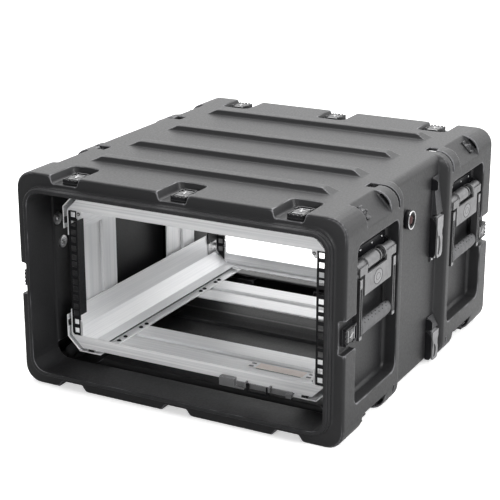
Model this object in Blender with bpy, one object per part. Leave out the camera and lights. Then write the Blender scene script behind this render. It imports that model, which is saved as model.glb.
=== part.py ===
"""Five-unit shock-rack case for 19-inch equipment, with both lids off.

A one-piece moulded shell carries a sprung outer frame on eight corner isolators.
An inner rack frame runs on that outer frame and slides out through the front.
Four drop handles, four side latches, eight corner studs and a pressure valve are
fixed to the shell.

Metres, +Z up, front towards -Y.  Origin: centre of the footprint, on the ground.
"""

import math

import bmesh
import bpy
from mathutils import Matrix, Vector

# ---------------------------------------------------------------- driving dimensions
BODY_HALF_WIDTH = 0.302
BODY_HALF_DEPTH = 0.3255
BODY_HEIGHT = 0.377
BODY_MID_Z = BODY_HEIGHT / 2
BAND_CORNER_RADIUS = 0.030
BAND_END_Y = 0.100
WAIST_INSET = 0.018
WAIST_CORNER_RADIUS = 0.012
WAIST_BOTTOM = 0.004
WALL = 0.007
FACE_BEVEL = 0.003

TONGUE_DEPTH = 0.015
TONGUE_THICKNESS = 0.0065
TONGUE_STEP = 0.0022
TONGUE_STEP_Y = 0.0075
OPENING_HALF_WIDTH = 0.273
OPENING_HALF_HEIGHT = 0.159
OPENING_CORNER_RADIUS = 0.024
LIP_DEPTH = 0.008
SLEEVE_END_Y = 0.266
SLEEVE_THICKNESS = 0.005

RIB_HEIGHT = 0.009
RIB_CENTRES_Y = (-0.202, -0.083, 0.049, 0.197)
RIB_BASE = (0.225, 0.0155)
RIB_TOP = (0.207, 0.00925)
GROOVE_CLEARANCE = 0.002

KEEPER_POCKETS_X = (-0.205, 0.0, 0.205)
KEEPER_POCKET_HALF_WIDTH = 0.029
KEEPER_POCKET_LENGTH = 0.070
KEEPER_POCKET_DEPTH = 0.014
UNDER_POCKET_LENGTH = 0.050
UNDER_POCKET_DEPTH = 0.0115
POCKET_BACKING = 0.006
SIDE_POCKET_Z = (0.160, 0.215)
SIDE_POCKET_DEPTH = 0.011

RECESS_Y = (-0.284, -0.120)
RECESS_Z = (0.062, 0.324)
RECESS_DEPTH = 0.025
RECESS_RADIUS = 0.014

CORNER_POCKET_Y = (-0.250, -0.155)
CORNER_POCKET_REACH = 0.0165
CORNER_PAD_Y = (-0.2635, -0.112)
CORNER_PAD_THICKNESS = 0.006
CORNER_PAD_RADIUS = 0.0255
CORNER_PIT_X = (0.248, 0.266)
CORNER_PIT_Y = (-0.141, -0.118)
CORNER_PIT_DEPTH = 0.012
CORNER_SLOT_WIDTH = 0.0065
CORNER_SLOT_DEPTH = 0.006
CRESCENT_RIM = 0.0035
CRESCENT_RIDGE = 0.002
CRESCENT_DEPTHS = (0.008, 0.009)

FRAME_FRONT = -0.268
FRAME_REAR = 0.250
FRAME_HALF_WIDTH = 0.244
FRAME_BOTTOM = 0.0535
FRAME_CHAMFER = 0.0235
PLATE_HEIGHT = 0.022
FLANGE_DEPTH = 0.022
SHEET = 0.002
FIT_GAP = 0.0003

RACK_HOLE_COLUMN = 0.4651 / 2
RACK_UNITS = 5
RACK_UNIT = 0.04445
RACK_HOLE_PITCH = (0.015875, 0.015875, 0.0127)
RACK_HOLE = 0.0095
RAIL_INNER = 0.2245
RAIL_OUTER = 0.2415
RAIL_SIDE_X = (0.2392, 0.2412)
RAIL_SIDE_DEPTH = 0.040
RAIL_SIDE_Z = (0.1025, 0.2745)
RAIL_END_GAP = 0.0085

SIDE_MEMBER_HEIGHT = 0.0675
SIDE_MEMBER_INNER = 0.1975

SPRUNG_HALF_WIDTH = 0.252
SPRUNG_BOTTOM = 0.046
SPRUNG_CHAMFER = 0.0245
SPRUNG_SIDE_HEIGHT = 0.064
SPRUNG_INNER = 0.184
SPRUNG_Y = (-0.267, 0.249)
HOOPS_Y = {"front": -0.1565, "rear": 0.1225}
HOOP_HALF_WIDTH = 0.0515
HOOP_GROOVE_HALF_WIDTH = 0.009
HOOP_GROOVE_DEPTH = 0.0045
HOOP_SHEET = 0.003

ISOLATORS_Y = {"front": -0.232, "rear": 0.200}
ISOLATOR_PLATE_RADIUS = 0.014
ISOLATOR_PLATE_THICKNESS = 0.003
ISOLATOR_BODY_RADIUS = 0.0115
ISOLATOR_WAIST_RADIUS = 0.0095

STUD_Y = 0.2305
STUD_FOOT = (0.0125, 0.006)
STUD_NUT_RADIUS = 0.0046
STUD_RADIUS = 0.0026

HANDLE_MIDDLE_Y = sum(RECESS_Y) / 2
HANDLE_PIVOT = (0.2909, 0.2825)
HANDLE_BASE_HALF_LENGTH = 0.0765
HANDLE_BASE_Z = (0.269, 0.303)
HANDLE_LUG_RADIUS = 0.0074
HANDLE_LUG_WIDTH = 0.005
HANDLE_PIN_RADIUS = 0.003
HANDLE_BARREL_RADIUS = 0.0078
HANDLE_HALF_LENGTH = 0.0705
HANDLE_SHEET_X = (0.2982, 0.3015)
HANDLE_SHOULDER_Z = 0.271
HANDLE_PLATE_HALF_WIDTH = 0.052
HANDLE_PLATE_BOTTOM = 0.2357
HANDLE_NOTCH_Y = (-0.0425, 0.0335)
HANDLE_NOTCH_BOTTOM = 0.2690
HANDLE_HOUSING_Y = (-0.041, 0.004)
HANDLE_HOUSING_RADIUS = 0.0110
HANDLE_NECK_RADIUS = 0.0048
HANDLE_CUP_RINGS_Y = ((0.010, 0.0125), (0.0285, 0.0315))
HANDLE_ARM_WIDTH = 0.010
HANDLE_ARM_X = 0.2895
HANDLE_ARM_Z = (0.1663, 0.266)
HANDLE_WEB_X = (0.2865, 0.2950)
HANDLE_WEB_Z = (0.258, 0.2785)
HANDLE_SLOT_Z = (0.172, 0.250)
HANDLE_SLOT_WIDTH = 0.0036
HANDLE_SLOT_DEPTH = 0.007
HANDLE_GRIP = (0.293, 0.1795)
HANDLE_GRIP_SIZE = (0.0082, 0.0120)
HANDLE_BAR_RADIUS = 0.004

LATCH_Y = (0.065, 0.093)
VALVE_CENTRE = (-0.046, 0.300)
VALVE_RADIUS = 0.0165
VALVE_STEM_RADIUS = 0.0105
VALVE_PROUD = 0.0095

RELEASE_PIVOT = (-0.2755, 0.0545)

ARC_STEPS = 6
ROUND_SEGMENTS = 16
SMOOTH_ANGLE = math.radians(35)

SIDES = {"right": 1, "left": -1}
ENDS = {"front": 1, "rear": -1}


# ---------------------------------------------------------------- mesh helpers
def at(axis, along, u, v):
    """Point with its coordinate on the axis, and u, v on the other two in order."""
    if axis == "x":
        return Vector((along, u, v))
    if axis == "y":
        return Vector((u, along, v))
    return Vector((u, v, along))


def rounded_outline(low, high, radius, steps=ARC_STEPS):
    """Rectangle between two (u, v) corners with round corners, anticlockwise."""
    centres = (
        (high[0] - radius, low[1] + radius, -90),
        (high[0] - radius, high[1] - radius, 0),
        (low[0] + radius, high[1] - radius, 90),
        (low[0] + radius, low[1] + radius, 180),
    )
    outline = []
    for centre_u, centre_v, start in centres:
        for step in range(steps + 1):
            angle = math.radians(start + 90 * step / steps)
            outline.append((centre_u + radius * math.cos(angle), centre_v + radius * math.sin(angle)))
    return outline


def chamfered_outline(half_width, low, high, chamfer):
    """Rectangle centred on u = 0 with its four corners cut at 45 degrees."""
    return [
        (half_width - chamfer, low),
        (half_width, low + chamfer),
        (half_width, high - chamfer),
        (half_width - chamfer, high),
        (chamfer - half_width, high),
        (-half_width, high - chamfer),
        (-half_width, low + chamfer),
        (chamfer - half_width, low),
    ]


def circle_outline(centre, radius, segments=ROUND_SEGMENTS):
    """Circle about a (u, v) centre."""
    outline = []
    for step in range(segments):
        angle = 2 * math.pi * step / segments
        outline.append((centre[0] + radius * math.cos(angle), centre[1] + radius * math.sin(angle)))
    return outline


def loft(bm, loops, ring=False):
    """Skin a row of equal loops; a ring joins the last to the first, else both ends close."""
    rows = [[bm.verts.new(point) for point in loop] for loop in loops]
    pairs = list(zip(rows, rows[1:]))
    if ring:
        pairs.append((rows[-1], rows[0]))
    else:
        bm.faces.new(rows[0])
        bm.faces.new(rows[-1])
    for first, second in pairs:
        count = len(first)
        for index in range(count):
            following = (index + 1) % count
            bm.faces.new((first[index], first[following], second[following], second[index]))


def prism(bm, outline, axis, low, high):
    """Straight extrusion of a (u, v) outline along an axis."""
    loft(bm, [[at(axis, along, u, v) for u, v in outline] for along in (low, high)])


def box(bm, low, high):
    """Block between two corners."""
    outline = [(low[0], low[1]), (high[0], low[1]), (high[0], high[1]), (low[0], high[1])]
    prism(bm, outline, "z", low[2], high[2])


def turned(bm, axis, centre, profile, bored=False, segments=ROUND_SEGMENTS):
    """Body of revolution from (radius, position) pairs; a bored one has a closed profile."""
    loops = []
    for radius, along in profile:
        loops.append([at(axis, along, u, v) for u, v in circle_outline(centre, radius, segments)])
    loft(bm, loops, ring=bored)


def tube(bm, axis, centre, outer, inner, low, high):
    """Straight tube."""
    turned(bm, axis, centre, [(inner, low), (outer, low), (outer, high), (inner, high)], bored=True)


def reflected(bm, x=False, y_about=None, z_about=None):
    """Mirror a mesh across x = 0, y = y_about and z = z_about, as asked."""
    for vert in bm.verts:
        if x:
            vert.co.x = -vert.co.x
        if y_about is not None:
            vert.co.y = 2 * y_about - vert.co.y
        if z_about is not None:
            vert.co.z = 2 * z_about - vert.co.z


def spread(draw, x=True, y=True, z=False):
    """Mesh with a shape drawn once for every asked mirror place of the shell."""
    bm = bmesh.new()
    for flip_x in (False, True)[: 1 + x]:
        for flip_y in (False, True)[: 1 + y]:
            for flip_z in (False, True)[: 1 + z]:
                piece = bmesh.new()
                draw(piece)
                reflected(piece, flip_x, 0 if flip_y else None, BODY_MID_Z if flip_z else None)
                copy_into(bm, piece)
    return bm


def copy_into(bm, piece):
    """Add one mesh's geometry to another."""
    scratch = bpy.data.meshes.new("scratch")
    piece.to_mesh(scratch)
    piece.free()
    bm.from_mesh(scratch)
    bpy.data.meshes.remove(scratch)


# ---------------------------------------------------------------- objects
def material(name, colour, roughness, metallic=0.0):
    """Principled material."""
    made = bpy.data.materials.new(name)
    made.use_nodes = True
    shader = made.node_tree.nodes["Principled BSDF"]
    shader.inputs["Base Color"].default_value = (*colour, 1.0)
    shader.inputs["Roughness"].default_value = roughness
    shader.inputs["Metallic"].default_value = metallic
    made.diffuse_color = (*colour, 1.0)
    return made


def make_object(name, bm, finish=None, origin=(0, 0, 0)):
    """Object from a mesh in world positions, with its own origin on the given point."""
    bm.normal_update()
    bmesh.ops.recalc_face_normals(bm, faces=bm.faces)
    bmesh.ops.translate(bm, vec=-Vector(origin), verts=bm.verts)
    mesh = bpy.data.meshes.new(name)
    bm.to_mesh(mesh)
    bm.free()
    mesh.shade_smooth()
    mesh.set_sharp_from_angle(angle=SMOOTH_ANGLE)
    made = bpy.data.objects.new(name, mesh)
    made.location = origin
    bpy.context.scene.collection.objects.link(made)
    if finish:
        mesh.materials.append(finish)
    return made


def combine(target, bm, operation, name):
    """Boolean a helper mesh, in world positions, into an object."""
    helper = make_object(f"{target.name}_{name}", bm)
    helper.hide_render = True
    helper.display_type = "WIRE"
    modifier = target.modifiers.new(name, "BOOLEAN")
    modifier.operation = operation
    modifier.solver = "EXACT"
    modifier.object = helper


def drawn(*draws):
    """One mesh from several drawing functions."""
    bm = bmesh.new()
    for draw in draws:
        draw(bm)
    return bm


# ---------------------------------------------------------------- shell
def skin_section(inset, bottom, radius, y, wall=0.0):
    """Rounded section of the shell at one depth: its outer skin, or the inner one a wall inside."""
    half_width = BODY_HALF_WIDTH - inset - wall
    low = (-half_width, bottom + wall)
    high = (half_width, BODY_HEIGHT - wall)
    return [at("y", y, u, v) for u, v in rounded_outline(low, high, radius)]


def opening_section(grow, y):
    """Rounded section of the end opening, grown outwards by a margin."""
    half_width = OPENING_HALF_WIDTH + grow
    half_height = OPENING_HALF_HEIGHT + grow
    low = (-half_width, BODY_MID_Z - half_height)
    high = (half_width, BODY_MID_Z + half_height)
    return [at("y", y, u, v) for u, v in rounded_outline(low, high, OPENING_CORNER_RADIUS + grow)]


def outer_sections():
    """Front half of the outer skin, from the tongue's tip to the middle of the case."""
    tip = -BODY_HALF_DEPTH - TONGUE_DEPTH
    bevelled = rounded_outline(
        (FACE_BEVEL - BODY_HALF_WIDTH, FACE_BEVEL),
        (BODY_HALF_WIDTH - FACE_BEVEL, BODY_HEIGHT - FACE_BEVEL),
        BAND_CORNER_RADIUS - FACE_BEVEL,
    )
    step = -BODY_HALF_DEPTH - TONGUE_STEP_Y
    sections = [
        opening_section(TONGUE_THICKNESS, tip),
        opening_section(TONGUE_THICKNESS, step),
        opening_section(TONGUE_THICKNESS + TONGUE_STEP, step + TONGUE_STEP / 2),
        opening_section(TONGUE_THICKNESS + TONGUE_STEP, -BODY_HALF_DEPTH),
        [at("y", -BODY_HALF_DEPTH, u, v) for u, v in bevelled],
        skin_section(0, 0, BAND_CORNER_RADIUS, -BODY_HALF_DEPTH + FACE_BEVEL),
    ]
    for part in (0, 0.25, 0.75, 1):
        turn = part * math.pi / 2
        inset = WAIST_INSET * (1 - math.cos(math.pi * part)) / 2
        radius = BAND_CORNER_RADIUS + (WAIST_CORNER_RADIUS - BAND_CORNER_RADIUS) * part
        step_y = -BAND_END_Y - 0.006 + 0.012 * math.sin(turn)
        sections.append(skin_section(inset, WAIST_BOTTOM * part, radius, step_y))
    return sections


def inner_sections():
    """Front half of the inner skin: in through the sleeve, back round it, then to the middle."""
    tip = -BODY_HALF_DEPTH - TONGUE_DEPTH
    lip = -BODY_HALF_DEPTH + LIP_DEPTH
    band_end = -BAND_END_Y - 0.012
    radius = BAND_CORNER_RADIUS - WALL
    return [
        opening_section(0, tip),
        opening_section(0, -SLEEVE_END_Y - 0.002),
        opening_section(0.001, -SLEEVE_END_Y),
        opening_section(SLEEVE_THICKNESS, -SLEEVE_END_Y),
        opening_section(SLEEVE_THICKNESS, lip),
        skin_section(0, 0, radius, lip, WALL),
        skin_section(0, 0, radius, band_end, WALL),
        skin_section(WAIST_INSET, WAIST_BOTTOM, WAIST_CORNER_RADIUS, band_end + 0.015, WALL),
    ]


def mirrored_in_y(sections):
    """The same sections for the rear half, in reverse order."""
    return [[Vector((p.x, -p.y, p.z)) for p in section] for section in reversed(sections)]


def draw_skin(bm):
    """Outer skin front to rear, then the inner skin rear to front, as one closed wall."""
    outer = outer_sections()
    inner = inner_sections()
    inner_back = mirrored_in_y(inner)
    loops = outer + mirrored_in_y(outer) + list(reversed(inner_back)) + list(reversed(inner))
    loft(bm, loops, ring=True)


def draw_frustum(bm, base, top, y, z_base, z_top):
    """Long bar with sloping sides, drawn from its base and top half sizes."""
    loops = []
    for (half_x, half_y), z in ((base, z_base), (top, z_top)):
        near = y - half_y
        far = y + half_y
        corners = [(-half_x, near), (half_x, near), (half_x, far), (-half_x, far)]
        loops.append([at("z", z, u, v) for u, v in corners])
    loft(bm, loops)


def draw_ribs(bm):
    """Four stacking ribs across the top, sunk a little into the wall."""
    sink = 0.002
    slope = (RIB_BASE[0] - RIB_TOP[0]) / RIB_HEIGHT, (RIB_BASE[1] - RIB_TOP[1]) / RIB_HEIGHT
    foot = (RIB_BASE[0] + slope[0] * sink, RIB_BASE[1] + slope[1] * sink)
    for y in RIB_CENTRES_Y:
        draw_frustum(bm, foot, RIB_TOP, y, BODY_HEIGHT - sink, BODY_HEIGHT + RIB_HEIGHT)


def draw_grooves(bm, grow, rise):
    """Shapes of the four stacking grooves underneath, grown for their backing."""
    below = 0.002 if grow > GROOVE_CLEARANCE else -0.002
    base = (RIB_BASE[0] + grow, RIB_BASE[1] + grow)
    top = (RIB_TOP[0] + grow, RIB_TOP[1] + grow)
    for y in RIB_CENTRES_Y:
        draw_frustum(bm, base, top, y, below, rise)


def draw_recess(bm):
    """Handle recess, with a narrower floor."""
    floor_x = BODY_HALF_WIDTH - RECESS_DEPTH
    loops = []
    for inset, x in ((0.004, floor_x), (0, floor_x + 0.004), (0, BODY_HALF_WIDTH + 0.005)):
        low = (RECESS_Y[0] + inset, RECESS_Z[0] + inset)
        high = (RECESS_Y[1] - inset, RECESS_Z[1] - inset)
        loops.append([at("x", x, u, v) for u, v in rounded_outline(low, high, RECESS_RADIUS - inset)])
    loft(bm, loops)


def draw_recess_backing(bm):
    """Wall behind the handle recess, from the sleeve's end backwards."""
    margin = POCKET_BACKING
    low = (BODY_HALF_WIDTH - RECESS_DEPTH - margin, -SLEEVE_END_Y - 0.0005, RECESS_Z[0] - margin)
    high = (BODY_HALF_WIDTH - 0.003, RECESS_Y[1] + margin, RECESS_Z[1] + margin)
    box(bm, low, high)


def draw_recess_front_backing(bm):
    """The part of that wall that stands between the sleeve and the outer skin."""
    margin = POCKET_BACKING
    low = (OPENING_HALF_WIDTH + 0.0015, RECESS_Y[0] - margin, RECESS_Z[0] - margin)
    high = (BODY_HALF_WIDTH - 0.003, -SLEEVE_END_Y + 0.004, RECESS_Z[1] + margin)
    box(bm, low, high)


def draw_keeper_pocket(bm, x, length, slope, floor_z, mouth_z):
    """Pocket open to the end face, with sloping sides, for one lid keeper."""
    loops = []
    for inset, z in ((slope, floor_z), (0, mouth_z)):
        low = (x - KEEPER_POCKET_HALF_WIDTH + inset, -BODY_HALF_DEPTH - 0.012)
        high = (x + KEEPER_POCKET_HALF_WIDTH - inset, length - BODY_HALF_DEPTH - inset)
        loops.append([at("z", z, u, v) for u, v in rounded_outline(low, high, 0.010, 3)])
    loft(bm, loops)


def draw_keeper_pockets(bm):
    """Three pockets on the top edge and three on the bottom edge of one end."""
    top_floor = BODY_HEIGHT - KEEPER_POCKET_DEPTH
    for x in KEEPER_POCKETS_X:
        draw_keeper_pocket(bm, x, KEEPER_POCKET_LENGTH, 0.005, top_floor, BODY_HEIGHT + 0.001)
        draw_keeper_pocket(bm, x, UNDER_POCKET_LENGTH, 0.009, UNDER_POCKET_DEPTH, -0.001)


def draw_keeper_backings(bm):
    """Walls behind the six keeper pockets of one end."""
    half = KEEPER_POCKET_HALF_WIDTH + POCKET_BACKING
    near = -BODY_HALF_DEPTH + 0.003
    far = POCKET_BACKING - BODY_HALF_DEPTH
    over = BODY_HEIGHT - KEEPER_POCKET_DEPTH - POCKET_BACKING
    under = UNDER_POCKET_DEPTH + POCKET_BACKING
    for x in KEEPER_POCKETS_X:
        box(bm, (x - half, near, over), (x + half, far + KEEPER_POCKET_LENGTH, BODY_HEIGHT - 0.003))
        box(bm, (x - half, near, 0.003), (x + half, far + UNDER_POCKET_LENGTH, under))


def draw_side_pocket(bm):
    """Keeper pocket on the side, running back into the handle recess."""
    low = (BODY_HALF_WIDTH - SIDE_POCKET_DEPTH, -BODY_HALF_DEPTH - 0.012, SIDE_POCKET_Z[0])
    box(bm, low, (BODY_HALF_WIDTH + 0.004, RECESS_Y[0] + 0.010, SIDE_POCKET_Z[1]))


def draw_side_pocket_backing(bm):
    """Wall behind the side keeper pocket."""
    wall = 0.006
    inner = BODY_HALF_WIDTH - SIDE_POCKET_DEPTH - wall
    low = (inner, 0.003 - BODY_HALF_DEPTH, SIDE_POCKET_Z[0] - wall)
    box(bm, low, (BODY_HALF_WIDTH - 0.003, RECESS_Y[0] + 0.010, SIDE_POCKET_Z[1] + wall))


def corner_floor(offset):
    """Top right end points, in (x, z), of the 45-degree line a distance inside the corner."""
    reach = CORNER_POCKET_REACH * 2 + offset * math.sqrt(2)
    side = BODY_HALF_WIDTH - 0.005
    top = BODY_HEIGHT - 0.005
    total = BODY_HALF_WIDTH + BODY_HEIGHT - reach
    return (total - top, top), (side, total - side)


def draw_corner_pad(bm):
    """Thick 45-degree corner wall that carries the corner stud and the isolator."""
    start, end = corner_floor(CORNER_PAD_THICKNESS)
    centre = (BODY_HALF_WIDTH - BAND_CORNER_RADIUS, BODY_HEIGHT - BAND_CORNER_RADIUS)
    arc = []
    for step in range(5):
        angle = math.radians(12 + 66 * step / 4)
        u = centre[0] + CORNER_PAD_RADIUS * math.cos(angle)
        arc.append((u, centre[1] + CORNER_PAD_RADIUS * math.sin(angle)))
    prism(bm, [start, end] + arc, "y", *CORNER_PAD_Y)


def draw_corner_pocket(bm):
    """Flat 45-degree cut in the rounded corner edge, for a corner stud."""
    start, end = corner_floor(0)
    spare = 0.010
    out = 0.030
    outline = [
        (start[0] - spare, start[1] + spare),
        (end[0] + spare, end[1] - spare),
        (end[0] + spare + out, end[1] - spare + out),
        (start[0] - spare + out, start[1] + spare + out),
    ]
    prism(bm, outline, "y", *CORNER_POCKET_Y)


def draw_corner_crescents(bm):
    """Crescent sunk in each end wall of the pocket, behind a ridge along the pocket's floor."""
    centre = (BODY_HALF_WIDTH - BAND_CORNER_RADIUS, BODY_HEIGHT - BAND_CORNER_RADIUS)
    radius = BAND_CORNER_RADIUS - CRESCENT_RIM
    floor_radius = (BODY_HALF_WIDTH + BODY_HEIGHT - CORNER_POCKET_REACH * 2 - sum(centre)) / math.sqrt(2)
    spread_angle = math.acos((floor_radius + CRESCENT_RIDGE) / radius)
    outline = []
    for step in range(9):
        angle = math.pi / 4 + spread_angle * (step / 4 - 1)
        outline.append((centre[0] + radius * math.cos(angle), centre[1] + radius * math.sin(angle)))
    near, far = CORNER_POCKET_Y
    prism(bm, outline, "y", near - CRESCENT_DEPTHS[0], near + 0.001)
    prism(bm, outline, "y", far - 0.001, far + CRESCENT_DEPTHS[1])


def draw_corner_slot(bm):
    """Pit in the top and a narrow slot from it round the corner edge."""
    low = (CORNER_PIT_X[0], CORNER_PIT_Y[0], BODY_HEIGHT - CORNER_PIT_DEPTH)
    box(bm, low, (CORNER_PIT_X[1], CORNER_PIT_Y[1], BODY_HEIGHT + 0.003))


def draw_corner_groove(bm):
    """Narrow slot that wraps the corner edge beside the pit."""
    centre = (BODY_HALF_WIDTH - BAND_CORNER_RADIUS, BODY_HEIGHT - BAND_CORNER_RADIUS)
    floor = []
    mouth = []
    for step in range(9):
        angle = math.radians(-8 + 112 * step / 8)
        for radius, side in ((BAND_CORNER_RADIUS - CORNER_SLOT_DEPTH, floor), (0.036, mouth)):
            side.append((centre[0] + radius * math.cos(angle), centre[1] + radius * math.sin(angle)))
    near = CORNER_PIT_Y[1] - CORNER_SLOT_WIDTH
    prism(bm, floor + list(reversed(mouth)), "y", near - 0.0005, CORNER_PIT_Y[1] - 0.0005)


def draw_valve_hole(bm):
    """Hole through the right-hand waist wall."""
    outside = BODY_HALF_WIDTH - WAIST_INSET
    radius = VALVE_STEM_RADIUS + FIT_GAP
    turned(bm, "x", VALVE_CENTRE, [(radius, outside - 0.015), (radius, outside + 0.005)])


def make_shell(finish):
    """Moulded shell with ribs, grooves, pockets, recesses and corner pads."""
    shell = make_object("shell", drawn(draw_skin), finish)
    combine(shell, drawn(draw_ribs), "UNION", "ribs")
    backings = spread(draw_recess_backing)
    copy_into(backings, spread(draw_keeper_backings, x=False))
    combine(shell, backings, "UNION", "backings")
    combine(shell, spread(draw_recess_front_backing), "UNION", "front_backings")
    pads = spread(draw_side_pocket_backing)
    copy_into(pads, spread(draw_corner_pad, z=True))
    copy_into(pads, drawn(lambda bm: draw_grooves(bm, 0.007, RIB_HEIGHT + WALL)))
    combine(shell, pads, "UNION", "pads")
    openings = spread(draw_recess)
    copy_into(openings, spread(draw_keeper_pockets, x=False))
    copy_into(openings, drawn(lambda bm: draw_grooves(bm, GROOVE_CLEARANCE, RIB_HEIGHT + 0.001)))
    copy_into(openings, drawn(draw_valve_hole))
    combine(shell, openings, "DIFFERENCE", "openings")
    corners = spread(draw_side_pocket)
    copy_into(corners, spread(draw_corner_pocket, z=True))
    copy_into(corners, spread(draw_corner_slot, z=True))
    combine(shell, corners, "DIFFERENCE", "corners")
    details = spread(draw_corner_crescents, z=True)
    copy_into(details, spread(draw_corner_groove, z=True))
    combine(shell, details, "DIFFERENCE", "details")


# ---------------------------------------------------------------- sprung outer frame
def hoop_profile():
    """(y, outward offset) section of a hoop: flat lands with a pressed groove between."""
    edge = HOOP_HALF_WIDTH
    slope = 0.002
    section = []
    outer_half = HOOP_GROOVE_HALF_WIDTH + HOOP_SHEET / 2
    for rise, half in ((0, HOOP_GROOVE_HALF_WIDTH), (HOOP_SHEET, outer_half)):
        crest = HOOP_GROOVE_DEPTH + rise
        left = [(-edge, rise), (-half, rise), (slope - half, crest)]
        section.append(left + [(-y, offset) for y, offset in reversed(left)])
    return section[0] + list(reversed(section[1]))


def make_hoop(name, y_middle, finish):
    """Closed hoop with 45-degree corners, round the outside of the corner angles."""
    loops = []
    for y, out in hoop_profile():
        offset = out + FIT_GAP
        outline = chamfered_outline(
            SPRUNG_HALF_WIDTH + offset,
            SPRUNG_BOTTOM - offset,
            BODY_HEIGHT - SPRUNG_BOTTOM + offset,
            SPRUNG_CHAMFER + offset * (2 - math.sqrt(2)),
        )
        loops.append([at("y", y_middle + y, u, v) for u, v in outline])
    bm = bmesh.new()
    loft(bm, loops, ring=True)
    make_object(name, bm, finish)


def bead(start, end, height_value, along_u):
    """Four points of a raised runner bead on a flat, between two positions."""
    slope = 0.0015
    base, crest = height_value
    places = [(start, base), (start + slope, crest), (end - slope, crest), (end, base)]
    return places if along_u else [(v, u) for u, v in places]


def sprung_angle_outline():
    """Bottom right section of a corner angle, with two beads the rack frame runs on."""
    side = SPRUNG_HALF_WIDTH
    low = SPRUNG_BOTTOM
    inner_side = side - SHEET
    inner_low = low + SHEET
    inner_chamfer = SPRUNG_CHAMFER - SHEET * (2 - math.sqrt(2))
    floor_bead = bead(0.200, 0.211, (inner_low, FRAME_BOTTOM - FIT_GAP), True)
    side_bead = bead(0.090, 0.101, (inner_side, FRAME_HALF_WIDTH + FIT_GAP), False)
    outline = [
        (side, low + SPRUNG_SIDE_HEIGHT),
        (side, low + SPRUNG_CHAMFER),
        (side - SPRUNG_CHAMFER, low),
        (SPRUNG_INNER, low),
        (SPRUNG_INNER, inner_low),
    ]
    outline += floor_bead
    outline += [(inner_side - inner_chamfer, inner_low), (inner_side, inner_low + inner_chamfer)]
    outline += side_bead
    outline.append((inner_side, low + SPRUNG_SIDE_HEIGHT))
    return outline


def for_four_edges(prefix, draw, finish):
    """The same long member at the four edges that run front to rear."""
    for side, sign in SIDES.items():
        for level, upper in (("lower", False), ("upper", True)):
            bm = drawn(draw)
            reflected(bm, sign < 0, None, BODY_MID_Z if upper else None)
            make_object(f"{prefix}_{level}_{side}", bm, finish)


def draw_isolator(bm):
    """Bonded rubber mount, drawn upright from the frame's chamfer to the corner pad."""
    start, end = corner_floor(CORNER_PAD_THICKNESS)
    pad_total = BODY_HEIGHT - start[1] - start[0]
    frame_total = SPRUNG_BOTTOM + SPRUNG_CHAMFER - SPRUNG_HALF_WIDTH
    length = (frame_total - pad_total) / math.sqrt(2) - 2 * FIT_GAP
    plate = ISOLATOR_PLATE_THICKNESS
    profile = [
        (ISOLATOR_PLATE_RADIUS, 0),
        (ISOLATOR_PLATE_RADIUS, plate),
        (ISOLATOR_BODY_RADIUS, plate),
        (ISOLATOR_WAIST_RADIUS, length * 0.35),
        (ISOLATOR_WAIST_RADIUS, length * 0.65),
        (ISOLATOR_BODY_RADIUS, length - plate),
        (ISOLATOR_PLATE_RADIUS, length - plate),
        (ISOLATOR_PLATE_RADIUS, length),
    ]
    turned(bm, "z", (0, 0), profile, segments=12)
    outward = Vector((1, 0, -1)).normalized()
    foot_x = SPRUNG_HALF_WIDTH - SPRUNG_CHAMFER / 2
    foot_z = SPRUNG_BOTTOM + SPRUNG_CHAMFER / 2
    bmesh.ops.rotate(bm, matrix=Matrix.Rotation(math.radians(135), 3, "Y"), verts=bm.verts)
    bmesh.ops.translate(bm, vec=Vector((foot_x, 0, foot_z)) + outward * FIT_GAP, verts=bm.verts)


def make_isolators(finish):
    """Eight isolators, two on each corner angle."""
    for end, y in ISOLATORS_Y.items():
        for side, sign in SIDES.items():
            for level, upper in (("lower", False), ("upper", True)):
                bm = drawn(draw_isolator)
                bmesh.ops.translate(bm, vec=(0, y, 0), verts=bm.verts)
                reflected(bm, sign < 0, None, BODY_MID_Z if upper else None)
                make_object(f"isolator_{end}_{level}_{side}", bm, finish)


def make_sprung_frame(metal, rubber):
    """Hoops, corner angles and isolators."""
    for end, y in HOOPS_Y.items():
        make_hoop(f"hoop_{end}", y, metal)
    for_four_edges("corner_angle", lambda bm: prism(bm, sprung_angle_outline(), "y", *SPRUNG_Y), metal)
    make_isolators(rubber)


# ---------------------------------------------------------------- sliding rack frame
def side_member_outline():
    """Bottom right section of a side member: wall, 45-degree corner and floor flange."""
    side = FRAME_HALF_WIDTH
    low = FRAME_BOTTOM
    inner_chamfer = FRAME_CHAMFER - SHEET * (2 - math.sqrt(2))
    return [
        (side, low + SIDE_MEMBER_HEIGHT),
        (side, low + FRAME_CHAMFER),
        (side - FRAME_CHAMFER, low),
        (SIDE_MEMBER_INNER, low),
        (SIDE_MEMBER_INNER, low + SHEET),
        (side - SHEET - inner_chamfer, low + SHEET),
        (side - SHEET, low + SHEET + inner_chamfer),
        (side - SHEET, low + SIDE_MEMBER_HEIGHT),
    ]


def draw_cross_plate(bm):
    """Front lower cross plate with 45-degree ends."""
    low = FRAME_BOTTOM
    inner = FRAME_HALF_WIDTH - FRAME_CHAMFER
    outline = [
        (-inner, low),
        (inner, low),
        (inner + PLATE_HEIGHT, low + PLATE_HEIGHT),
        (-inner - PLATE_HEIGHT, low + PLATE_HEIGHT),
    ]
    prism(bm, outline, "y", FRAME_FRONT, FRAME_FRONT + SHEET)


def draw_cross_flange(bm):
    """Floor flange behind the cross plate."""
    half = SIDE_MEMBER_INNER - FIT_GAP
    low = (-half, FRAME_FRONT + SHEET / 2, FRAME_BOTTOM)
    box(bm, low, (half, FRAME_FRONT + FLANGE_DEPTH, FRAME_BOTTOM + SHEET))


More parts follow.
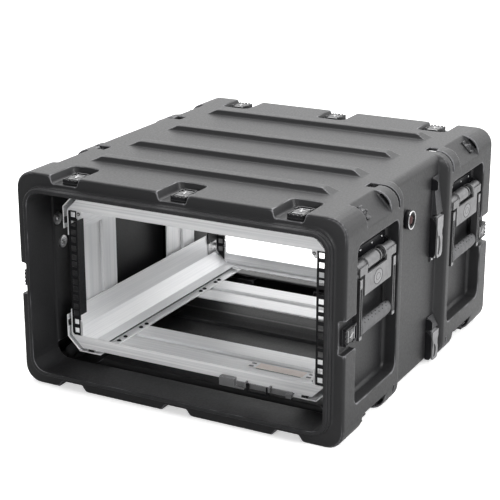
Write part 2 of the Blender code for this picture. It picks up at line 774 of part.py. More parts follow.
def rack_hole_heights():
    """Hole heights of the standard rack pattern, centred on the case."""
    height = BODY_MID_Z - RACK_UNITS * RACK_UNIT / 2 + RACK_HOLE_PITCH[2] / 2
    heights = []
    for _ in range(RACK_UNITS):
        for pitch in RACK_HOLE_PITCH:
            heights.append(height)
            height += pitch
    return heights


def draw_rail_front(bm):
    """Front flange of the right front rack rail."""
    low = FRAME_BOTTOM + RAIL_END_GAP
    cut = FRAME_HALF_WIDTH - FRAME_CHAMFER + RAIL_END_GAP - 0.004
    rise = RAIL_OUTER - cut
    high = BODY_HEIGHT - low
    outline = [
        (RAIL_INNER, low),
        (cut, low),
        (RAIL_OUTER, low + rise),
        (RAIL_OUTER, high - rise),
        (cut, high),
        (RAIL_INNER, high),
    ]
    near = FRAME_FRONT + SHEET + FIT_GAP
    prism(bm, outline, "y", near, near + SHEET)


def draw_rail_side(bm):
    """Deep side flange on the outer edge of the right front rack rail."""
    near = FRAME_FRONT + SHEET + FIT_GAP + SHEET / 2
    low, high = RAIL_SIDE_Z
    box(bm, (RAIL_SIDE_X[0], near, low), (RAIL_SIDE_X[1], near + RAIL_SIDE_DEPTH, high))


def draw_rack_holes(bm):
    """Square cage-nut holes in one rail."""
    half = RACK_HOLE / 2
    for height in rack_hole_heights():
        low = (RACK_HOLE_COLUMN - half, FRAME_FRONT - 0.001, height - half)
        box(bm, low, (RACK_HOLE_COLUMN + half, FRAME_FRONT + 0.010, height + half))


def make_rack_frame(metal, black):
    """Cross plates, rails and side members of the sliding frame."""
    middle_y = (FRAME_FRONT + FRAME_REAR) / 2
    for end, end_sign in ENDS.items():
        y_about = middle_y if end_sign < 0 else None
        for level, upper in (("lower", False), ("upper", True)):
            z_about = BODY_MID_Z if upper else None
            plate = drawn(draw_cross_plate)
            flange = drawn(draw_cross_flange)
            for bm in (plate, flange):
                reflected(bm, False, y_about, z_about)
            combine(make_object(f"cross_plate_{end}_{level}", plate, metal), flange, "UNION", "flange")
        for side, sign in SIDES.items():
            shapes = [drawn(draw_rail_front), drawn(draw_rail_side), drawn(draw_rack_holes)]
            for bm in shapes:
                reflected(bm, sign < 0, y_about, None)
            rail = make_object(f"rack_rail_{end}_{side}", shapes[0], black)
            combine(rail, shapes[1], "UNION", "side")
            combine(rail, shapes[2], "DIFFERENCE", "holes")
    inset = SHEET + FIT_GAP
    member_y = (FRAME_FRONT + inset, FRAME_REAR - inset)
    for_four_edges("side_member", lambda bm: prism(bm, side_member_outline(), "y", *member_y), metal)


def draw_release_plate(bm):
    """Catch strip along the lower edge of the lower cross plate."""
    front = FRAME_FRONT - FIT_GAP
    box(bm, (0.057, front - 0.0022, 0.0462), (0.187, front, 0.0550))


def draw_release_hooks(bm):
    """Lip under the strip's left half and the hook at its right end."""
    front = FRAME_FRONT - FIT_GAP
    box(bm, (0.059, front - 0.0085, 0.0450), (0.1015, front - 0.001, 0.0475))
    box(bm, (0.1765, front - 0.0062, 0.0450), (0.186, front - 0.001, 0.0525))


def draw_release_block(bm):
    """Spring block at the catch plate's left end and the two ears of the pull."""
    front = FRAME_FRONT - FIT_GAP - 0.001
    box(bm, (0.0565, front - 0.0100, 0.0465), (0.084, front, 0.0615))
    for x in (0.1025, 0.1465):
        box(bm, (x, front - 0.0095, 0.0500), (x + 0.003, front, 0.0590))


def draw_release_bores(bm):
    """Bores of the two ears."""
    turned(bm, "x", RELEASE_PIVOT, [(0.0015, 0.1015), (0.0015, 0.1505)], segments=10)


def draw_release_pull(bm):
    """U-shaped pull hanging from the ears."""
    y, z = RELEASE_PIVOT
    outline = [
        (0.1060, z + 0.0025),
        (0.1060, z - 0.0115),
        (0.1080, z - 0.0135),
        (0.1440, z - 0.0135),
        (0.1460, z - 0.0115),
        (0.1460, z + 0.0025),
        (0.1420, z + 0.0025),
        (0.1420, z - 0.0090),
        (0.1100, z - 0.0090),
        (0.1100, z + 0.0025),
    ]
    prism(bm, outline, "y", y - 0.0015, y + 0.0015)


def draw_release_pins(bm):
    """Stub pins of the pull."""
    for low, high in ((0.1030, 0.1070), (0.1450, 0.1490)):
        turned(bm, "x", RELEASE_PIVOT, [(0.0012, low), (0.0012, high)], segments=10)


def make_release(metal, black):
    """Catch plate and pull that hold the sliding frame in."""
    catch = make_object("release_catch", drawn(draw_release_plate), metal)
    combine(catch, drawn(draw_release_hooks), "UNION", "hooks")
    combine(catch, drawn(draw_release_block), "UNION", "block")
    combine(catch, drawn(draw_release_bores), "DIFFERENCE", "bores")
    pivot = (0.126, *RELEASE_PIVOT)
    pull = make_object("release_pull", drawn(draw_release_pull), black, pivot)
    combine(pull, drawn(draw_release_pins), "UNION", "pins")


# ---------------------------------------------------------------- drop handles
def handle_span(low, high=None):
    """Low and high y of a stretch about the front right handle's middle; one value is a half."""
    if high is None:
        low, high = -low, low
    return HANDLE_MIDDLE_Y + low, HANDLE_MIDDLE_Y + high


def draw_handle_base(bm):
    """Mounting plate on the recess floor."""
    floor_x = BODY_HALF_WIDTH - RECESS_DEPTH + FIT_GAP
    near, far = handle_span(HANDLE_BASE_HALF_LENGTH)
    box(bm, (floor_x, near, HANDLE_BASE_Z[0]), (floor_x + 0.002, far, HANDLE_BASE_Z[1]))


def draw_handle_lugs(bm):
    """Two lugs that hold the hinge pin."""
    floor_x = BODY_HALF_WIDTH - RECESS_DEPTH + FIT_GAP
    tip_x, pivot_z = HANDLE_PIVOT
    outline = [(floor_x + 0.001, pivot_z - 0.0105), (floor_x + 0.001, pivot_z + 0.0125)]
    for step in range(7):
        angle = math.radians(80 - 160 * step / 6)
        u = tip_x + HANDLE_LUG_RADIUS * math.cos(angle)
        outline.append((u, pivot_z + HANDLE_LUG_RADIUS * math.sin(angle)))
    out = HANDLE_BASE_HALF_LENGTH
    inn = out - HANDLE_LUG_WIDTH
    for low, high in ((-out, -inn), (inn, out)):
        prism(bm, outline, "y", *handle_span(low, high))


def draw_handle_pin(bm):
    """Hinge pin between the lugs."""
    near, far = handle_span(HANDLE_BASE_HALF_LENGTH - HANDLE_LUG_WIDTH / 2)
    turned(bm, "y", HANDLE_PIVOT, [(HANDLE_PIN_RADIUS, near), (HANDLE_PIN_RADIUS, far)])


def draw_handle_sheet(bm):
    """Pressed front plate: full-width shoulders, a notch for the spring and a lower apron."""
    full = HANDLE_HALF_LENGTH
    apron = HANDLE_PLATE_HALF_WIDTH
    top = HANDLE_PIVOT[1] + 0.002
    notch_near, notch_far = HANDLE_NOTCH_Y
    outline = [
        (full, top),
        (full, HANDLE_SHOULDER_Z),
        (apron, HANDLE_SHOULDER_Z),
        (apron, HANDLE_PLATE_BOTTOM),
        (-apron, HANDLE_PLATE_BOTTOM),
        (-apron, HANDLE_SHOULDER_Z),
        (-full, HANDLE_SHOULDER_Z),
        (-full, top),
        (notch_near, top),
        (notch_near, HANDLE_NOTCH_BOTTOM),
        (notch_far, HANDLE_NOTCH_BOTTOM),
        (notch_far, top),
    ]
    prism(bm, [(HANDLE_MIDDLE_Y + u, v) for u, v in outline], "x", *HANDLE_SHEET_X)


def draw_handle_barrel(bm):
    """Bored hinge barrel: a spring housing off its middle and an open cup beside it."""
    bore = HANDLE_PIN_RADIUS + FIT_GAP
    near, far = handle_span(HANDLE_HALF_LENGTH + 0.0003)
    low, high = handle_span(*HANDLE_HOUSING_Y)
    profile = [
        (bore, near),
        (HANDLE_BARREL_RADIUS, near),
        (HANDLE_BARREL_RADIUS, low),
        (HANDLE_HOUSING_RADIUS, low + 0.001),
        (HANDLE_HOUSING_RADIUS, high),
    ]
    for ring in HANDLE_CUP_RINGS_Y:
        ring_near, ring_far = handle_span(*ring)
        profile.append((HANDLE_NECK_RADIUS, profile[-1][1]))
        profile.append((HANDLE_NECK_RADIUS, ring_near))
        profile.append((HANDLE_HOUSING_RADIUS, ring_near))
        profile.append((HANDLE_HOUSING_RADIUS, ring_far))
    profile.append((HANDLE_BARREL_RADIUS, profile[-1][1]))
    profile.append((HANDLE_BARREL_RADIUS, far))
    profile.append((bore, far))
    turned(bm, "y", HANDLE_PIVOT, profile, bored=True)


def draw_arm_pair(bm, x_range, z_range):
    """Two blocks as wide as the arms, one at each end of the handle."""
    out = HANDLE_HALF_LENGTH
    inn = out - HANDLE_ARM_WIDTH
    for low, high in ((-out, -inn), (inn, out)):
        near, far = handle_span(low, high)
        box(bm, (x_range[0], near, z_range[0]), (x_range[1], far, z_range[1]))


def draw_handle_arms(bm):
    """Two folded arms that end just below the plate's shoulders."""
    draw_arm_pair(bm, (HANDLE_ARM_X, HANDLE_SHEET_X[1]), HANDLE_ARM_Z)


def draw_handle_webs(bm):
    """Set-back webs that join the arms to the barrel."""
    draw_arm_pair(bm, HANDLE_WEB_X, HANDLE_WEB_Z)


def draw_handle_slots(bm):
    """Long slot down the front of each arm."""
    middle = HANDLE_HALF_LENGTH - HANDLE_ARM_WIDTH / 2
    floor_x = HANDLE_SHEET_X[1] - HANDLE_SLOT_DEPTH
    for centre in (-middle, middle):
        near, far = handle_span(centre - HANDLE_SLOT_WIDTH / 2, centre + HANDLE_SLOT_WIDTH / 2)
        box(bm, (floor_x, near, HANDLE_SLOT_Z[0]), (HANDLE_SHEET_X[1] + 0.002, far, HANDLE_SLOT_Z[1]))


def draw_handle_bar(bm):
    """Steel bar that the grip is moulded round."""
    near, far = handle_span(HANDLE_HALF_LENGTH - HANDLE_ARM_WIDTH + 0.002)
    turned(bm, "y", HANDLE_GRIP, [(HANDLE_BAR_RADIUS, near), (HANDLE_BAR_RADIUS, far)])


def draw_handle_grip(bm):
    """Oval rubber grip with shallow finger bumps."""
    half = HANDLE_HALF_LENGTH - HANDLE_ARM_WIDTH - FIT_GAP
    rings = 13
    loops = []
    for step in range(rings):
        y = HANDLE_MIDDLE_Y + half * (2 * step / (rings - 1) - 1)
        swell = 0.90 if step in (0, rings - 1) else 1.0 + 0.025 * (-1) ** step
        loop = []
        for u, v in circle_outline((0, 0), swell, 20):
            x = HANDLE_GRIP[0] + u * HANDLE_GRIP_SIZE[0]
            loop.append(Vector((x, y, HANDLE_GRIP[1] + v * HANDLE_GRIP_SIZE[1])))
        loops.append(loop)
    loft(bm, loops)


def draw_grip_bore(bm):
    """Bore of the grip for the steel bar."""
    near, far = handle_span(HANDLE_HALF_LENGTH)
    radius = HANDLE_BAR_RADIUS + FIT_GAP
    turned(bm, "y", HANDLE_GRIP, [(radius, near), (radius, far)])


HANDLE_PARTS = {
    "base": (
        (draw_handle_base, "UNION"),
        (draw_handle_lugs, "UNION"),
        (draw_handle_pin, "UNION"),
    ),
    "frame": (
        (draw_handle_sheet, "UNION"),
        (draw_handle_arms, "UNION"),
        (draw_handle_slots, "DIFFERENCE"),
        (draw_handle_webs, "UNION"),
        (draw_handle_barrel, "UNION"),
        (draw_handle_bar, "UNION"),
    ),
    "grip": (
        (draw_handle_grip, "UNION"),
        (draw_grip_bore, "DIFFERENCE"),
    ),
}


def make_handles(steel, grey, rubber):
    """Handle base, swinging frame and grip in each recess; the left ones are turned half round."""
    finishes = {"base": steel, "frame": grey, "grip": rubber}
    for end, end_sign in ENDS.items():
        shift = HANDLE_MIDDLE_Y * (end_sign - 1)
        for side, sign in SIDES.items():
            pivot = (sign * HANDLE_PIVOT[0], end_sign * HANDLE_MIDDLE_Y, HANDLE_PIVOT[1])
            for part, steps in HANDLE_PARTS.items():
                made = None
                for draw, operation in steps:
                    bm = drawn(draw)
                    reflected(bm, sign < 0, HANDLE_MIDDLE_Y if sign < 0 else None)
                    bmesh.ops.translate(bm, vec=Vector((0, shift, 0)), verts=bm.verts)
                    if made:
                        combine(made, bm, operation, draw.__name__)
                        continue
                    origin = (0, 0, 0) if part == "base" else pivot
                    made = make_object(f"handle_{part}_{end}_{side}", bm, finishes[part], origin)


# ---------------------------------------------------------------- side latches
LATCHES = {
    "upper": {"foot": 0.192, "head": 0.345, "hinge": 0.272, "hook": (0.279, 0.340), "lever": 0.200},
    "lower": {"foot": 0.018, "head": 0.088, "hinge": 0.060, "hook": (0.067, 0.086), "lever": 0.008},
}
LATCH_PIVOT_X = 0.2915
LATCH_PIN_RADIUS = 0.0011
LATCH_LUG_RADIUS = 0.0020
LATCH_BARREL_RADIUS = 0.0036
LATCH_HOOK_RISE = (0.0112, 0.0022)
LATCH_HOOK_HALF_WIDTH = (0.0138, 0.0110)


def latch_wall():
    """Position of the waist wall's outer face, plus the fitting gap."""
    return BODY_HALF_WIDTH - WAIST_INSET + FIT_GAP


def draw_latch_plate(bm, sizes):
    """Riveted backing plate."""
    wall = latch_wall()
    box(bm, (wall, LATCH_Y[0], sizes["foot"]), (wall + 0.0022, LATCH_Y[1], sizes["head"]))


def draw_latch_hook(bm, sizes):
    """Tapered hook strap that slopes down to the plate's head."""
    wall = latch_wall()
    middle = sum(LATCH_Y) / 2
    loops = []
    for z, rise, half in zip(sizes["hook"], LATCH_HOOK_RISE, LATCH_HOOK_HALF_WIDTH):
        corners = [
            (wall + 0.001, middle - half),
            (wall + rise, middle - half),
            (wall + rise, middle + half),
            (wall + 0.001, middle + half),
        ]
        loops.append([at("z", z, u, v) for u, v in corners])
    loft(bm, loops)


def draw_latch_lugs(bm, sizes):
    """Two hinge lugs with rounded noses."""
    wall = latch_wall()
    hinge = sizes["hinge"]
    outline = [(wall + 0.001, hinge - 0.0065), (wall + 0.001, hinge + 0.0045)]
    for step in range(5):
        angle = math.radians(60 - 120 * step / 4)
        u = LATCH_PIVOT_X + LATCH_LUG_RADIUS * math.cos(angle)
        outline.append((u, hinge + LATCH_LUG_RADIUS * math.sin(angle)))
    for low, high in ((LATCH_Y[0], LATCH_Y[0] + 0.003), (LATCH_Y[1] - 0.003, LATCH_Y[1])):
        loft(bm, [[Vector((u, y, v)) for u, v in outline] for y in (low, high)])


def draw_latch_pin(bm, sizes):
    """Hinge pin between the lugs."""
    radius = LATCH_PIN_RADIUS
    profile = [(radius, LATCH_Y[0] + 0.001), (radius, LATCH_Y[1] - 0.001)]
    turned(bm, "y", (LATCH_PIVOT_X, sizes["hinge"]), profile, segments=10)


def draw_latch_lever(bm, sizes):
    """Thick lever with a waist, hanging in front of the hinge."""
    middle = sum(LATCH_Y) / 2
    top = sizes["hinge"] + 0.0015
    tip = sizes["lever"]
    neck = top + (tip - top) * 0.42
    half = [
        (0.0140, top),
        (0.0140, neck + 0.010),
        (0.0105, neck + 0.004),
        (0.0105, neck - 0.004),
        (0.0128, neck - 0.009),
        (0.0128, tip + 0.006),
        (0.0088, tip),
    ]
    outline = [(middle + u, v) for u, v in half]
    outline += [(middle - u, v) for u, v in reversed(half)]
    prism(bm, outline, "x", LATCH_PIVOT_X + LATCH_LUG_RADIUS + FIT_GAP, LATCH_PIVOT_X + 0.0062)


def draw_latch_barrel(bm, sizes):
    """Bored barrel of the lever."""
    near = LATCH_Y[0] + 0.003 + FIT_GAP
    far = LATCH_Y[1] - 0.003 - FIT_GAP
    centre = (LATCH_PIVOT_X, sizes["hinge"])
    tube(bm, "y", centre, LATCH_BARREL_RADIUS, LATCH_PIN_RADIUS + FIT_GAP, near, far)


def make_latches(black, grey):
    """Two latches on each side, against the rear band."""
    for side, sign in SIDES.items():
        for level, sizes in LATCHES.items():
            base_steps = (draw_latch_plate, draw_latch_hook, draw_latch_lugs, draw_latch_pin)
            lever_steps = (draw_latch_lever, draw_latch_barrel)
            pivot = (sign * LATCH_PIVOT_X, sum(LATCH_Y) / 2, sizes["hinge"])
            for part, steps, finish, origin in (
                ("base", base_steps, black, (0, 0, 0)),
                ("lever", lever_steps, grey, pivot),
            ):
                shapes = []
                for step in steps:
                    bm = bmesh.new()
                    step(bm, sizes)
                    reflected(bm, sign < 0)
                    shapes.append(bm)
                made = make_object(f"latch_{part}_{level}_{side}", shapes[0], finish, origin)
                for number, bm in enumerate(shapes[1:], start=1):
                    combine(made, bm, "UNION", f"part{number}")


# ---------------------------------------------------------------- valve and corner studs
def make_valve(black, metal):
    """Pressure valve in the right-hand wall, with its push button."""
    wall = BODY_HALF_WIDTH - WAIST_INSET
    face = wall + VALVE_PROUD
    floor = wall + 0.001
    profile = [
        (VALVE_STEM_RADIUS, wall - 0.014),
        (VALVE_STEM_RADIUS, wall + FIT_GAP),
        (VALVE_RADIUS - 0.0005, wall + FIT_GAP),
        (VALVE_RADIUS, wall + 0.001),
        (VALVE_RADIUS, face - 0.001),
        (VALVE_RADIUS - 0.001, face),
        (0.0120, face),
        (0.0105, floor),
        (0.0033, floor),
        (0.0033, wall - 0.014),
    ]
    bm = bmesh.new()
    turned(bm, "x", VALVE_CENTRE, profile, bored=True, segments=20)
    make_object("valve_body", bm, black)
    under_head = face - 0.0062
    stem = [(0.0030, wall - 0.009), (0.0030, under_head)]
    head = [
        (0.0072, under_head),
        (0.0078, under_head + 0.0010),
        (0.0078, under_head + 0.0040),
        (0.0068, under_head + 0.0050),
    ]
    bm = bmesh.new()
    turned(bm, "x", VALVE_CENTRE, stem + head)
    make_object("valve_button", bm, metal, (face, *VALVE_CENTRE))


def draw_stud_foot(bm):
    """Foot plate with raised ends, drawn flat, facing +Z, its length along X."""
    length, width = STUD_FOOT
    section = [
        (-length, 0),
        (-length, 0.0030),
        (0.0025 - length, 0.0034),
        (0.0045 - length, 0.0018),
        (length - 0.0045, 0.0018),
        (length - 0.0025, 0.0034),
        (length, 0.0030),
        (length, 0),
    ]
    loft(bm, [[Vector((u, y, v)) for u, v in section] for y in (-width, width)])


def draw_stud_nut(bm):
    """Hexagon nut that clamps the foot plate."""
    outline = circle_outline((0, 0), STUD_NUT_RADIUS, 6)
    prism(bm, outline, "z", 0.0010, 0.0052)


def draw_stud_tip(bm):
    """Domed end of the stud."""
    profile = [
        (STUD_RADIUS, 0.0045),
        (STUD_RADIUS, 0.0070),
        (STUD_RADIUS * 0.8, 0.0080),
        (STUD_RADIUS * 0.4, 0.0085),
    ]
    turned(bm, "z", (0, 0), profile, segments=12)


def place_stud(bm, sign, end_sign, upper):
    """Set a stud on the 45-degree floor of one corner pocket."""
    start, end = corner_floor(0)
    foot = Vector(((start[0] + end[0]) / 2, 0, (start[1] + end[1]) / 2))
    outward = Vector((1, 0, 1)).normalized()
    bmesh.ops.rotate(bm, matrix=Matrix.Rotation(math.radians(45), 3, "Y"), verts=bm.verts)
    bmesh.ops.translate(bm, vec=foot + outward * FIT_GAP + Vector((0, -STUD_Y, 0)), verts=bm.verts)
    reflected(bm, sign < 0, 0 if end_sign < 0 else None, None if upper else BODY_MID_Z)


def make_studs(metal):
    """Stacking stud in each of the eight corner pockets."""
    for end, end_sign in ENDS.items():
        for side, sign in SIDES.items():
            for level, upper in (("lower", False), ("upper", True)):
                shapes = [drawn(draw_stud_foot), drawn(draw_stud_nut), drawn(draw_stud_tip)]
                for bm in shapes:
                    place_stud(bm, sign, end_sign, upper)
                made = make_object(f"corner_stud_{end}_{level}_{side}", shapes[0], metal)
                combine(made, shapes[1], "UNION", "nut")
                combine(made, shapes[2], "UNION", "tip")


# ---------------------------------------------------------------- build
def clear_scene():
    """Remove every object that a new file holds."""
    for old in list(bpy.context.scene.objects):
        bpy.data.objects.remove(old, do_unlink=True)


def build():
    """Make the whole case."""
    clear_scene()
    plastic = material("moulded_plastic", (0.052, 0.052, 0.055), 0.52)
    aluminium = material("aluminium", (0.78, 0.79, 0.80), 0.32, 1.0)
    black_steel = material("black_steel", (0.018, 0.018, 0.019), 0.42, 0.6)
    grey_metal = material("grey_metal", (0.30, 0.30, 0.31), 0.38, 0.9)
    rubber = material("rubber", (0.045, 0.045, 0.047), 0.75)
    make_shell(plastic)
    make_sprung_frame(aluminium, rubber)
    make_rack_frame(aluminium, black_steel)
    make_release(aluminium, black_steel)
    make_handles(black_steel, grey_metal, rubber)
    make_latches(black_steel, grey_metal)
    make_valve(black_steel, grey_metal)
    make_studs(grey_metal)


build()
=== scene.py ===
"""Looks for the five-unit shock-rack case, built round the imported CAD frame."""

import math

import bmesh
import bpy
import numpy as np
from mathutils import Matrix, Vector


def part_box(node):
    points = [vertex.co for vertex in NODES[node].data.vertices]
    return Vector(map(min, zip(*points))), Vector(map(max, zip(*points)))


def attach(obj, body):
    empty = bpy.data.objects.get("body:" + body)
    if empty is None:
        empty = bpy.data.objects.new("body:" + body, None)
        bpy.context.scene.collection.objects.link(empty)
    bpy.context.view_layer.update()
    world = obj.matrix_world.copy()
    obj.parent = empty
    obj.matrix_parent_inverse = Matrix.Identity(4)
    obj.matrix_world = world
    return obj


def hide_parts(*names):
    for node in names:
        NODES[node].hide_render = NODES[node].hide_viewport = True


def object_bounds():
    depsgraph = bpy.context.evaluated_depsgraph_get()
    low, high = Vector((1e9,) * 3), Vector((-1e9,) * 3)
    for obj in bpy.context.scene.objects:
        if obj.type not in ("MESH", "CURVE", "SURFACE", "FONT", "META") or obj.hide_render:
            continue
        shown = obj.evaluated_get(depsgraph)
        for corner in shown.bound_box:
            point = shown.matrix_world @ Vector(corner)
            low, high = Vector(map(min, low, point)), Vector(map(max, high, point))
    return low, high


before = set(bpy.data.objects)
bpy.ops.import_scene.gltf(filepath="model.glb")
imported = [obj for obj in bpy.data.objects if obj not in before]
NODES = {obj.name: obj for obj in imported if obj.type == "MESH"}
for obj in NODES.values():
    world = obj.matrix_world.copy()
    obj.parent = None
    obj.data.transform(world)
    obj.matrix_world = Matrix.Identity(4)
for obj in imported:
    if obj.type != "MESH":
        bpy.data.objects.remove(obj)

CAD_BOX = [list(corner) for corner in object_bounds()]
SIDES = {"right": 1, "left": -1}
LEVELS = {"upper": 1, "lower": -1}
ENDS = {"front": -1, "rear": 1}
# Edges sharper than this stay crisp.
SMOOTH_ANGLE = math.radians(32)

# Millimetres in metres; a length is in millimetres until MM scales it.
MM = 0.001
# Height of the rack opening's middle.
MID_Z = 188.5
# Inner faces of the corner angles: half width, half height, and their sum on the sloping face.
ANGLE_INNER_SIDE = 250.0
ANGLE_INNER_LEVEL = 140.5
ANGLE_INNER_CORNER = 367.2
# The drop handles: distance along Y, x and z of the hinge, and where the plate ends and the arms start.
HANDLE_Y = 202.0
HANDLE_PIVOT = (290.9, 282.5)
HANDLE_ARM_START = 59.5
HANDLE_ARM_TOP = 267.0


# ---------------------------------------------------------------- material nodes
class Shader:
    """A Principled material with helpers for its node graph."""

    def __init__(self, name, metallic=0.0, specular=0.5):
        self.material = bpy.data.materials.new(name)
        self.material.use_nodes = True
        self.tree = self.material.node_tree
        self.principled = self.tree.nodes["Principled BSDF"]
        self.principled.inputs["Metallic"].default_value = metallic
        self.principled.inputs["Specular IOR Level"].default_value = specular
        coordinates = self.add("ShaderNodeTexCoord")
        self.position = coordinates.outputs["Object"]
        self.bump_chain = None

    def add(self, kind, **settings):
        """A new node of a kind, with its settings."""
        node = self.tree.nodes.new(kind)
        for key, value in settings.items():
            setattr(node, key, value)
        return node

    def link(self, source, target):
        """Join an output socket to an input socket."""
        self.tree.links.new(source, target)

    def noise(self, scale, detail=3.0, stretch=None, roughness=0.5):
        """Noise in object space; stretch is a scale for each axis."""
        node = self.add("ShaderNodeTexNoise")
        node.inputs["Scale"].default_value = scale
        node.inputs["Detail"].default_value = detail
        node.inputs["Roughness"].default_value = roughness
        source = self.position
        if stretch:
            mapping = self.add("ShaderNodeMapping")
            mapping.inputs["Scale"].default_value = stretch
            self.link(self.position, mapping.inputs["Vector"])
            source = mapping.outputs["Vector"]
        self.link(source, node.inputs["Vector"])
        return node.outputs["Fac"]

    def cells(self, scale):
        """Distance to the nearest point of a cell pattern."""
        node = self.add("ShaderNodeTexVoronoi")
        node.inputs["Scale"].default_value = scale
        self.link(self.position, node.inputs["Vector"])
        return node.outputs["Distance"]

    def ramp(self, fac, stops):
        """Colour or value ramp through (position, colour) stops."""
        node = self.add("ShaderNodeValToRGB")
        elements = node.color_ramp.elements
        for index, (position, colour) in enumerate(stops):
            element = elements[index] if index < 2 else elements.new(position)
            element.position = position
            element.color = (*colour, 1.0) if len(colour) == 3 else colour
        self.link(fac, node.inputs["Fac"])
        return node.outputs["Color"]

    def mixed(self, factor, first, second, blend_type="MIX"):
        """Colour mix of two sockets or plain colours."""
        node = self.add("ShaderNodeMix", data_type="RGBA", blend_type=blend_type)
        for socket, source in (("Factor", factor), ("A", first), ("B", second)):
            if isinstance(source, bpy.types.NodeSocket):
                self.link(source, node.inputs[socket])
            elif isinstance(source, tuple):
                node.inputs[socket].default_value = (*source, 1.0)
            else:
                node.inputs[socket].default_value = source
        return node.outputs["Result"]

    def value_range(self, fac, low, high, start=0.3, end=0.7):
        """Map a factor between start and end to a value between low and high."""
        node = self.add("ShaderNodeMapRange")
        node.inputs["From Min"].default_value = start
        node.inputs["From Max"].default_value = end
        node.inputs["To Min"].default_value = low
        node.inputs["To Max"].default_value = high
        self.link(fac, node.inputs["Value"])
        return node.outputs["Result"]

    def colour(self, socket):
        """Take the base colour from a socket."""
        self.link(socket, self.principled.inputs["Base Color"])

    def roughness(self, socket):
        """Take the roughness from a socket."""
        self.link(socket, self.principled.inputs["Roughness"])

    def bump(self, height, distance, strength=1.0):
        """Add one layer of bump, a height in metres."""
        node = self.add("ShaderNodeBump")
        node.inputs["Distance"].default_value = distance
        node.inputs["Strength"].default_value = strength
        self.link(height, node.inputs["Height"])
        if self.bump_chain:
            self.link(self.bump_chain, node.inputs["Normal"])
        self.bump_chain = node.outputs["Normal"]
        self.link(self.bump_chain, self.principled.inputs["Normal"])

    def painted_edge_highlight(self, base, highlight, radius, amount):
        """Mix a painted highlight colour in along the edges, within a radius in metres."""
        bevel = self.add("ShaderNodeBevel", samples=4)
        bevel.inputs["Radius"].default_value = radius
        geometry = self.add("ShaderNodeNewGeometry")
        dot = self.add("ShaderNodeVectorMath", operation="DOT_PRODUCT")
        self.link(bevel.outputs["Normal"], dot.inputs[0])
        self.link(geometry.outputs["Normal"], dot.inputs[1])
        edge = self.value_range(dot.outputs["Value"], amount, 0.0, 0.86, 0.99)
        return self.mixed(edge, base, highlight)

    def maths(self, operation, first, second):
        """One number from two, each a socket or a plain number."""
        node = self.add("ShaderNodeMath", operation=operation)
        for index, source in enumerate((first, second)):
            if isinstance(source, bpy.types.NodeSocket):
                self.link(source, node.inputs[index])
            else:
                node.inputs[index].default_value = source
        return node.outputs["Value"]

    def inside_sheet(self):
        """1 on the runner beads, which stand inside the corner angles' sheet, else 0: where the beads
        are painted near-black as painted shade.
        """
        split = self.add("ShaderNodeSeparateXYZ")
        self.link(self.position, split.inputs["Vector"])
        across = self.maths("ABSOLUTE", split.outputs["X"], 0.0)
        up = self.maths("ABSOLUTE", self.maths("SUBTRACT", split.outputs["Z"], MID_Z * MM), 0.0)
        side = self.maths("SUBTRACT", across, ANGLE_INNER_SIDE * MM)
        level = self.maths("SUBTRACT", up, ANGLE_INNER_LEVEL * MM)
        corner = self.maths("SUBTRACT", self.maths("ADD", across, up), ANGLE_INNER_CORNER * MM)
        depth = self.maths("MAXIMUM", self.maths("MAXIMUM", side, level), corner)
        return self.maths("LESS_THAN", depth, -0.0004)

    def outside_plate(self):
        """1 on a drop handle's two arms, which stand outside its plate, else 0."""
        split = self.add("ShaderNodeSeparateXYZ")
        self.link(self.position, split.inputs["Vector"])
        away = self.maths("SUBTRACT", self.maths("ABSOLUTE", split.outputs["Y"], 0.0), HANDLE_Y * MM)
        past_plate = self.maths("GREATER_THAN", self.maths("ABSOLUTE", away, 0.0), HANDLE_ARM_START * MM)
        below_barrel = self.maths("LESS_THAN", split.outputs["Z"], HANDLE_ARM_TOP * MM)
        return self.maths("MULTIPLY", past_plate, below_barrel)

    def bulge(self):
        """Stored bulge of the surface: 0 is flat, more is a convex edge, less is a hollow."""
        return self.add("ShaderNodeAttribute", attribute_name="bulge").outputs["Fac"]


def moulded_plastic(name, dark, light):
    """Rotationally moulded polyethylene: fine peel, faint mottle, a painted highlight on convex edges
    and painted shade in hollows.
    """
    shader = Shader(name, specular=0.30)
    mottle = shader.noise(14.0, 5.0)
    base = shader.ramp(mottle, [(0.3, dark), (0.7, light)])
    streaks = shader.noise(1.0, 4.0, stretch=(6.0, 60.0, 60.0))
    base = shader.mixed(0.5, base, shader.ramp(streaks, [(0.3, dark), (0.7, light)]))
    bulge = shader.bulge()
    # Painted highlight: convex edges, found by the stored bulge, lightened far above the plastic's own
    # colour.
    edge_highlight = tuple(channel * 8.0 for channel in light)
    # Painted shade: hollows, found by the stored bulge, darkened to half the plastic's dark tone.
    hollow = tuple(channel * 0.5 for channel in dark)
    base = shader.mixed(shader.value_range(bulge, 0.0, 0.9, 0.05, 0.14), base, edge_highlight)
    shader.colour(shader.mixed(shader.value_range(bulge, 0.7, 0.0, -0.16, -0.06), base, hollow))
    shader.roughness(shader.value_range(shader.noise(260.0, 3.0), 0.42, 0.52))
    shader.bump(shader.noise(950.0, 2.0), 0.00012, 0.55)
    shader.bump(shader.noise(380.0, 2.0), 0.00008, 0.35)
    return shader.material


